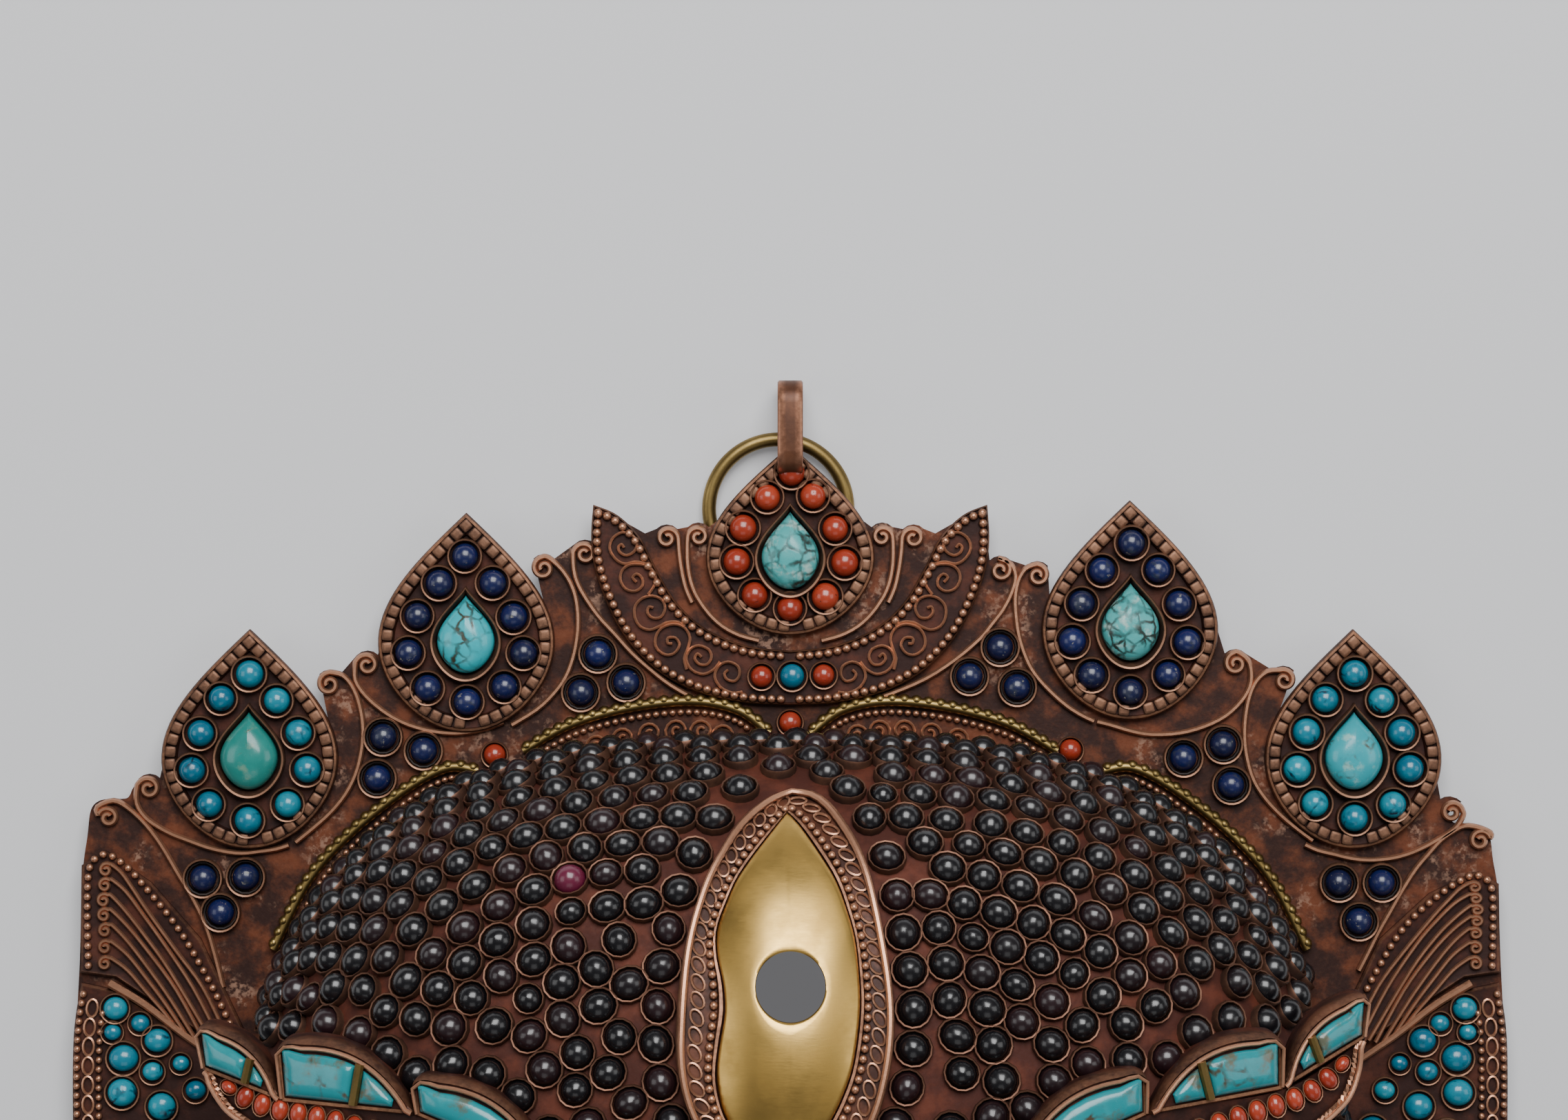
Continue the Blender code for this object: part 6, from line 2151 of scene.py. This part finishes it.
@dataclass(frozen=True)
class Hairline:
    """Notched brass wires over the forehead, with pearl wire and scrolls below them."""

    wire: float = 1.15
    pearl_pitch: float = 1.8
    pearl_inward: float = 2.3
    scroll_pitch: float = 6.1
    scroll_inward: float = 6.1
    scroll_radius: float = 2.75
    inner: tuple = ((4.3, -36.3), (10.5, -31.6), (20, -29.6), (33, -30.8), (46, -34.4), (56, -40.0))
    outer: tuple = ((65.4, -44.2), (71.8, -43.5), (80.6, -48.0), (92.2, -57.2), (101.2, -67.4), (108.4, -81.6))

    def build(self, tree: ScatterTree) -> None:
        """Models the wires and their bands.

        Args:
            tree: Sets the pearls and scrolls.
        """
        pearls, teeth, wires = [], [], Draft()
        for side, word in ((-1, "left"), (1, "right")):
            for points, place in ((self.inner, "inner"), (self.outer, "outer")):
                run = smooth_run([(x * side, y) for x, y in points], 30)
                draft = Draft()
                draft.tube(lifted(run, PANEL_BASE + self.wire), self.wire, 10, taper=0.92, squash=1.15)
                name = f"hairline_{place}_{word}"
                draft.piece(name, Finish.OLIVE, [f"hairline_wire_{place}_{word}"], 60.0)
                self._band(run, side, pearls, wires)
                for (x, y), along in evenly(run, 2.5):
                    at = (x - along.y * 0.5 * side, y + along.x * 0.5 * side, PANEL_BASE + self.wire + 0.1)
                    teeth.append(Spot(at, (1.3, 1.15, 1.3), (0, 0, 1), (along.x, along.y, 0)))
        tree.scatter("hairline_teeth", teeth, Shape.PEARL, Finish.OLIVE)
        tree.scatter("hairline_pearls", pearls, Shape.PEARL, Finish.WIRE)
        wires.piece("hairline_scrolls", Finish.WIRE)

    @staticmethod
    def _clear(x: float, y: float, gap: float) -> bool:
        """Whether a place lies on the sheet outside the face."""
        along = y - FACE.centre_y
        return math.hypot(x, along) > FACE.radius(math.atan2(along, x)) + gap

    def _band(self, run: Sequence[Plan], side: int, pearls: list[Spot], wires: Draft) -> None:
        """Places the pearls and scrolls of one arch."""
        for (x, y), along in evenly(run, self.pearl_pitch):
            inward = Vector((along.y, -along.x)) * side
            px, py = x + inward.x * self.pearl_inward, y + inward.y * self.pearl_inward
            if self._clear(px, py, 1.2):
                pearls.append(Spot((px, py, SHEET_TOP + 0.7), (0.82, 0.78, 0.9), (0, 0, 1), (along.x, along.y, 0)))
        for (x, y), along in evenly(run, self.scroll_pitch):
            inward = Vector((along.y, -along.x)) * side
            px, py = x + inward.x * self.scroll_inward, y + inward.y * self.scroll_inward
            if self._clear(px, py, 1.3):
                start = math.degrees(math.atan2(-inward.y, -inward.x)) - 140 * side
                curl = spiral((px, py), self.scroll_radius, start, 1.5 * side, 0.2, 20)
                wires.tube(lifted(curl, SHEET_TOP + 0.6), 0.34, 6, squash=1.7)


@dataclass(frozen=True)
class Trios:
    """Six trios of lapis, and the corals at the hairline."""

    lapis: tuple = (
        (-40.3, -19.7), (-43.9, -27.8), (-34.4, -25.7), (44.0, -18.3), (37.6, -24.4), (47.6, -26.7), (-85.4, -37.1),
        (-76.9, -40.0), (-86.6, -45.8), (90.8, -38.7), (82.5, -41.5), (92.5, -47.2), (-123.2, -66.8), (-114.2, -66.5),
        (-119.5, -73.9), (115.1, -67.7), (124.1, -67.7), (119.3, -75.8)
    )
    corals: tuple = (-62.0, 0.0, 58.8)
    coral_gap: float = 4.4
    lapis_size: tuple = ((4.2, 5.8), 0.5, (2.8, 3.0))
    coral_size: tuple = ((2.9, 4.4), 0.6, (2.35, 2.5))
    ring_size: tuple = (3.6, 3.6, 4.0)

    def build(self, tree: ScatterTree, settings: Settings) -> None:
        """Places the stones.

        Args:
            tree: Sets the dark rings inside the cups.
            settings: Takes the stones and their cups.
        """
        rng = random.Random(23)
        rings = [Spot((x, y, SHEET_TOP), self.ring_size) for x, y in self.lapis]
        tree.scatter("trio_rings", rings, Shape.CUP, Finish.PITCH)
        for x, y in self.lapis:
            settings.add(Finish.LAPIS, (x, y, SHEET_TOP), *self.lapis_size, rng)
        for x in self.corals:
            share = (abs(x) / FACE.half_width) ** FACE.forehead_power
            y = FACE.centre_y + FACE.forehead * (1 - share) ** (1 / FACE.forehead_power) + self.coral_gap
            settings.add(Finish.CORAL, (x, y, SHEET_TOP), *self.coral_size, rng)


@dataclass(frozen=True)
class Wing:
    """One side's fan of wires and its ear panel of turquoise."""

    word: str
    side: int
    fan: tuple = (
        (148.6, -64.0), (148.9, -86.5), (141.4, -87.6), (116.8, -103.8), (114.6, -98.4), (123.6, -79.4), (134.0, -67.6),
        (143.6, -60.9)
    )
    wires: tuple = (
        (
            143.3, -64.9,
            (
                (142.0, -63.9), (140.0, -65.6), (137.6, -69.0), (134.6, -73.5), (128.5, -82.0), (123.1, -89.4),
                (118.6, -98.6)
            )
        ),
        (
            143.5, -68.1,
            ((142.0, -67.0), (139.0, -69.6), (135.3, -74.6), (131.2, -80.3), (125.1, -89.5), (119.8, -99.8))
        ),
        (143.8, -71.3, ((142.2, -70.3), (139.3, -73.4), (135.3, -78.5), (129.8, -86.2), (121.2, -100.6))),
        (143.7, -74.4, ((142.1, -73.4), (138.7, -76.8), (134.3, -82.2), (128.5, -90.2), (122.6, -101.0))),
        (143.5, -77.6, ((141.9, -76.6), (139.0, -79.6), (135.3, -84.3), (129.8, -92.0), (124.1, -101.2))),
        (143.5, -81.1, ((141.9, -80.1), (138.7, -82.8), (135.3, -87.0), (130.5, -93.4), (125.8, -100.6))),
        (143.5, -84.5, ((141.9, -83.6), (138.7, -86.0), (134.9, -90.4), (130.9, -95.0), (127.6, -99.4))),
    )
    known: tuple = (
        (141.3, -93.9, 5.1), (136.1, -97.0, 3.9), (141.9, -98.9, 3.6), (132.5, -100.6, 5.5), (139.6, -104.3, 6.2),
        (133.5, -107.1, 4.3), (127.6, -105.4, 3.5), (139.9, -111.5, 6.1), (131.6, -114.4, 5.8), (124.5, -111.0, 4.3)
    )
    diameters: tuple = (6.1, 5.4, 4.6, 3.8)
    tries: int = 1400
    cup_wall: float = 0.75

    def flip(self, points: Iterable[Plan]) -> list[Plan]:
        """Points of the viewer's right side on this side."""
        return sag([(x * self.side, y) for x, y in points])

    def ear_outline(self) -> list[Plan]:
        """The ear panel's outline on the viewer's right."""
        edge = smooth_run(
            (
                (148.6, -88.6), (150.2, -100), (150.3, -120), (149.5, -140), (146, -160), (139, -180), (128, -198),
                (117.2, -209.4)
            ),
            6
        )
        inner = []
        for i in range(28):
            y = -208.0 + 101.0 * i / 27
            upper = y >= FACE.centre_y
            length, power = (FACE.forehead, FACE.forehead_power) if upper else (FACE.jaw, FACE.jaw_power)
            share = min(1.0, abs(y - FACE.centre_y) / length)
            inner.append((FACE.half_width * (1 - share**power) ** (1 / power) + 2.0, y))
        return [*edge, *inner, (117.8, -105.4), (141, -90.2)]

    def build(self, tree: ScatterTree, settings: Settings) -> None:
        """Models the wing.

        Args:
            tree: Sets its pearls and links.
            settings: Takes its beads and their cups.
        """
        self._panel(self.flip(self.fan), PANEL_BASE + 1.6, f"fan_panel_{self.word}", f"wing_fan_{self.word}")
        wires = Draft()
        for x, y, run in self.wires:
            curl = spiral((x, y), 1.5, 130, -1.3, steps=16)
            path = self.flip([*reversed(curl), *run])
            wires.tube(lifted(smooth_run(path, 4), PANEL_BASE + 2.1), 0.5, 8, squash=1.6, shine=1.3)
        ear = self.ear_outline()
        bar = self.flip([(142.6, -88.6), (135, -93.2), (127, -99.4), (119.4, -104.6)])
        wires.tube(lifted(smooth_run(bar, 6), PANEL_BASE + 2.6), 0.95, 8, taper=0.7)
        wires.piece(f"fan_wires_{self.word}", Finish.WIRE)
        self._panel(self.flip(ear), PANEL_BASE + 2.0, f"ear_back_{self.word}", f"ear_panel_{self.word}")
        border = [(147.0, -86.0), (147.2, -76.0), (147.1, -67.0), (146.2, -63.2), (143.6, -61.6), (141.3, -62.5)]
        border += [
            (138.3, -64.9), (134.3, -69.5), (130.4, -74.2), (126.8, -79.3), (123.7, -84.6), (120.7, -90.1),
            (117.0, -98.0)
        ]
        pearls = strung(lifted(smooth_run(self.flip(border), 6), PANEL_BASE + 1.9), 2.05, (0.92, 0.88, 0.9))
        for inset, start in ((1.0, 1), (5.6, 3)):
            line = offset(ear, -inset)[start : 43 - start]
            pearls += strung(lifted(self.flip(line), PANEL_BASE + 2.5), 1.95, (0.84, 0.84 * 0.95, 0.84))
        links = strung(lifted(self.flip(offset(ear, -3.3)[2:40]), PANEL_BASE + 2.5), 4.1, (1.85, 1.8, 1.9))
        tree.scatter(f"wing_pearls_{self.word}", pearls, Shape.PEARL, Finish.WIRE)
        tree.scatter(f"ear_links_{self.word}", links, Shape.LINK, Finish.WIRE)
        self._beads(ear, settings)

    @staticmethod
    def _panel(outline: Sequence[Plan], top: float, name: str, node: str) -> None:
        """Models a flat panel with a soft edge."""
        draft = Draft()
        rows = [
            lifted(outline, PANEL_BASE), lifted(outline, top - 0.4), lifted(offset(outline, -0.4), top),
            lifted(offset(outline, -1.2), top - 0.1)
        ]
        draft.skin(rows, [0, 0.4, 0.5, 0.1], caps="first last")
        draft.piece(name, Finish.PANEL, [node], 35.0)

    def _beads(self, ear: Sequence[Plan], settings: Settings) -> None:
        """Packs the ear panel with beads: the seen ones at their places, the rest at random."""
        rng = random.Random(61 + self.side)
        field = offset(ear, -1.0)
        beads = list(self.known)
        for diameter in self.diameters:
            for _ in range(self.tries):
                x, y = rng.uniform(112, 146), rng.uniform(-208, -104)
                radius = diameter / 2 + 0.85
                if not inside((x, y), field) or x + radius > self._limit(y):
                    continue
                if edge_distance((x, y), field) < radius - 0.2:
                    continue
                if all(math.hypot(x - a, y - b) > radius + c / 2 + self.cup_wall for a, b, c in beads):
                    beads.append((x, y, diameter))
        top = PANEL_BASE + 2.0
        for x, y, diameter in beads:
            radius = diameter / 2
            foot = (x * self.side, y, top)
            cup, stone = (radius + self.cup_wall, 3.6), (radius, radius * 0.85)
            settings.add(Finish.TURQUOISE, foot, cup, 0.5, stone, rng, 0.86)

    @staticmethod
    def _limit(y: float) -> float:
        """The inner side of the panel's border."""
        run = ((150.3, -100), (150.3, -120), (149.5, -140), (146, -160), (139, -180), (128, -198), (117, -209))
        for (x0, y0), (x1, y1) in zip(run, run[1:]):
            if y1 <= y <= y0:
                return x0 + (x1 - x0) * (y - y0) / (y1 - y0) - 6.6
        return 143.6 if y > -100 else 112.0


@dataclass(frozen=True)
class Hanger:
    """The copper bail and the brass ring in it."""

    width: float = 5.3
    strap: float = 1.2
    top: float = 37.6
    height: float = 19.6
    depth: float = 14.4
    corner: float = 4.8
    ring_radius: float = 14.6
    ring_wire: float = 1.5
    ring_centre: Plan = (-2.5, 10.8)

    def _section(self, inset: float) -> list[Plan]:
        """The bail's loop in height and depth."""
        top, bottom = self.top - inset, self.top - self.height + inset
        back, front, radius = inset, self.depth - inset, self.corner - inset
        points = []
        for y, z, start in (
            (top - radius, front - radius, 90), (top - radius, back + radius, 0), (bottom + radius, back + radius, -90),
            (bottom + radius, front - radius, 180)
        ):
            for step in range(9):
                angle = math.radians(start - 90 * step / 8)
                points.append(polar((y, z), radius, angle))
        return points

    def build(self) -> None:
        """Models the bail and the ring."""
        half, soft = self.width / 2, 0.35
        loops = [
            (-half, soft, 0.7), (-half + soft, 0.0, 1.0), (-half * 0.3, 0.0, 0.3), (half * 0.3, 0.0, 0.3),
            (half - soft, 0.0, 1.0), (half, soft, 0.7)
        ]
        loops += [
            (half, self.strap - soft, 0.4), (half - soft, self.strap, 0.2), (-half + soft, self.strap, 0.2),
            (-half, self.strap - soft, 0.4)
        ]
        draft = Draft()
        draft.skin(
            [[(x, y, z) for y, z in self._section(inset)] for x, inset, _ in loops], [w for *_, w in loops], closed=True
        )
        draft.piece("bail_strap", Finish.BAIL, ["hanging_bail"], 50.0)
        ring = Draft()
        path = []
        for angle in full_turn(96):
            height = self.ring_wire + (self.strap + 0.3) * (1 + math.sin(angle)) / 2
            path.append((*polar(self.ring_centre, self.ring_radius, angle), height))
        ring.tube(path, self.ring_wire, 16, True)
        ring.piece("ring_wire", Finish.OLIVE, ["hanging_ring"], 60.0)


# Studio


@dataclass(frozen=True)
class Studio:
    """The pale floor, the soft lights and the camera of the photograph. The floor also glows faintly, a painted light.
    """

    distance: float = 1.0
    middle: Plan = (-1.3, 0.0)
    focus_height: float = 0.006
    frame_width: float = 329.3
    sensor: float = 36.0
    lights: tuple = (
        ("key", (0.08, 0.72, 1.0), 0.8, 18.0),
        ("left", (-1.05, 0.15, 0.75), 0.7, 2.6),
        ("right", (1.05, 0.15, 0.75), 0.7, 2.6),
        ("front", (0.0, -0.95, 1.0), 0.9, 1.8),
    )
    lit: Point = (0.0, 0.05, 0.0)
    floor_half: float = 3.0
    floor_colour: tuple = (0.60, 0.60, 0.61)
    # The floor glows faintly though it is no lamp. This is painted light that brightens the shaded floor inside the
    # hollow face, seen through the pupils and mouth.
    floor_painted_glow: tuple = (0.62, 0.63, 0.66)
    floor_painted_glow_strength: float = 0.22
    world_colour: tuple = (0.55, 0.56, 0.58, 1.0)
    world_strength: float = 0.18

    def build(self) -> None:
        """Sets the floor, lights and camera."""
        mesh = bpy.data.meshes.new("floor")
        corners = [(x * self.floor_half, y * self.floor_half, 0) for x, y in ((-1, -1), (1, -1), (1, 1), (-1, 1))]
        mesh.from_pydata(corners, [], [(0, 1, 2, 3)])
        floor = placed("floor", mesh)
        paint = Shader("studio floor")
        # Painted light: the floor's faint glow lights the floor in the shade under the mask.
        glow = {"Emission_Color": self.floor_painted_glow, "Emission_Strength": self.floor_painted_glow_strength}
        mesh.materials.append(paint.finish(Base_Color=self.floor_colour, Roughness=0.9, **glow))
        camera = placed("camera", bpy.data.cameras.new("camera"))
        across, up = self.middle[0] * MM, (self.middle[1] + DATUM_Y) * MM
        place, target = Vector((across, up, self.distance)), Vector((across, up, self.focus_height))
        camera.location = place
        camera.rotation_euler = (target - place).to_track_quat("-Z", "Y").to_euler()
        camera.data.sensor_width = self.sensor
        camera.data.lens = self.sensor * (target - place).length / (self.frame_width * MM)
        camera.data.clip_start = 0.05
        bpy.context.scene.camera = camera
        for name, at, size, power in self.lights:
            light = bpy.data.lights.new(name, "AREA")
            light.shape, light.size, light.energy = "SQUARE", size, power
            lamp = placed(name, light)
            lamp.location = at
            lamp.rotation_euler = (Vector(self.lit) - Vector(at)).to_track_quat("-Z", "Y").to_euler()
        world = bpy.data.worlds.new("studio")
        world.use_nodes = True
        background = world.node_tree.nodes["Background"]
        background.inputs["Color"].default_value = self.world_colour
        background.inputs["Strength"].default_value = self.world_strength
        bpy.context.scene.world = world


EYE_ROOM, BROW_ROOM, ROOM = 3.8, 1.4, 3.9


def build_mask() -> None:
    """Builds every piece of the mask."""
    tree = ScatterTree()
    mouth, nose = Mouth(), Nose()
    rows = flame_rows()
    FaceShell().build(EYES, mouth)
    for eye in EYES:
        eye.build(tree)
    nose.build(tree)
    for row in rows:
        row.build(tree)
    mouth.build(tree)
    keep_out = [(eye.ring(1.0, 24), EYE_ROOM) for eye in EYES]
    keep_out += [(row.outline(), BROW_ROOM if row.name.startswith("brow") else ROOM) for row in rows]
    keep_out += [(nose.outline(2.2), ROOM), (mouth.line(9.5, 48), ROOM)]
    GarnetField().build(tree, keep_out)
    CrownSheet().build()
    settings = Settings()
    leaves = (
        Leaf(1, Finish.TURQUOISE, Finish.DROP_GREEN),
        Leaf(2, Finish.LAPIS, Finish.DROP_BRIGHT),
        Leaf(
            3, Finish.CORAL, Finish.DROP_PALE, width=35.4, height=39.8,
            beads=((0.0, 38.2), (5.2, 32.6), (10.0, 25.2), (11.6, 17.0), (7.7, 9.3), (0.0, 6.5))
        ),
        Leaf(4, Finish.LAPIS, Finish.DROP_PALE),
        Leaf(5, Finish.TURQUOISE, Finish.DROP_SKY),
    )
    for leaf in leaves:
        leaf.build(tree, settings)
    Crescent().build(tree, settings)
    Cradles().build()
    Hairline().build(tree)
    Trios().build(tree, settings)
    for word, side in (("left", -1), ("right", 1)):
        Wing(word, side).build(tree, settings)
    settings.build(tree)
    Hanger().build()
    for guide in [o for o in bpy.data.objects if o.name.startswith("guide_")]:
        bpy.data.objects.remove(guide)


def main() -> None:
    """Loads the frame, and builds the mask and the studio."""
    logging.basicConfig(level=logging.INFO, format="%(message)s")
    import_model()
    build_mask()
    Studio().build()


if __name__ == "__main__":
    main()
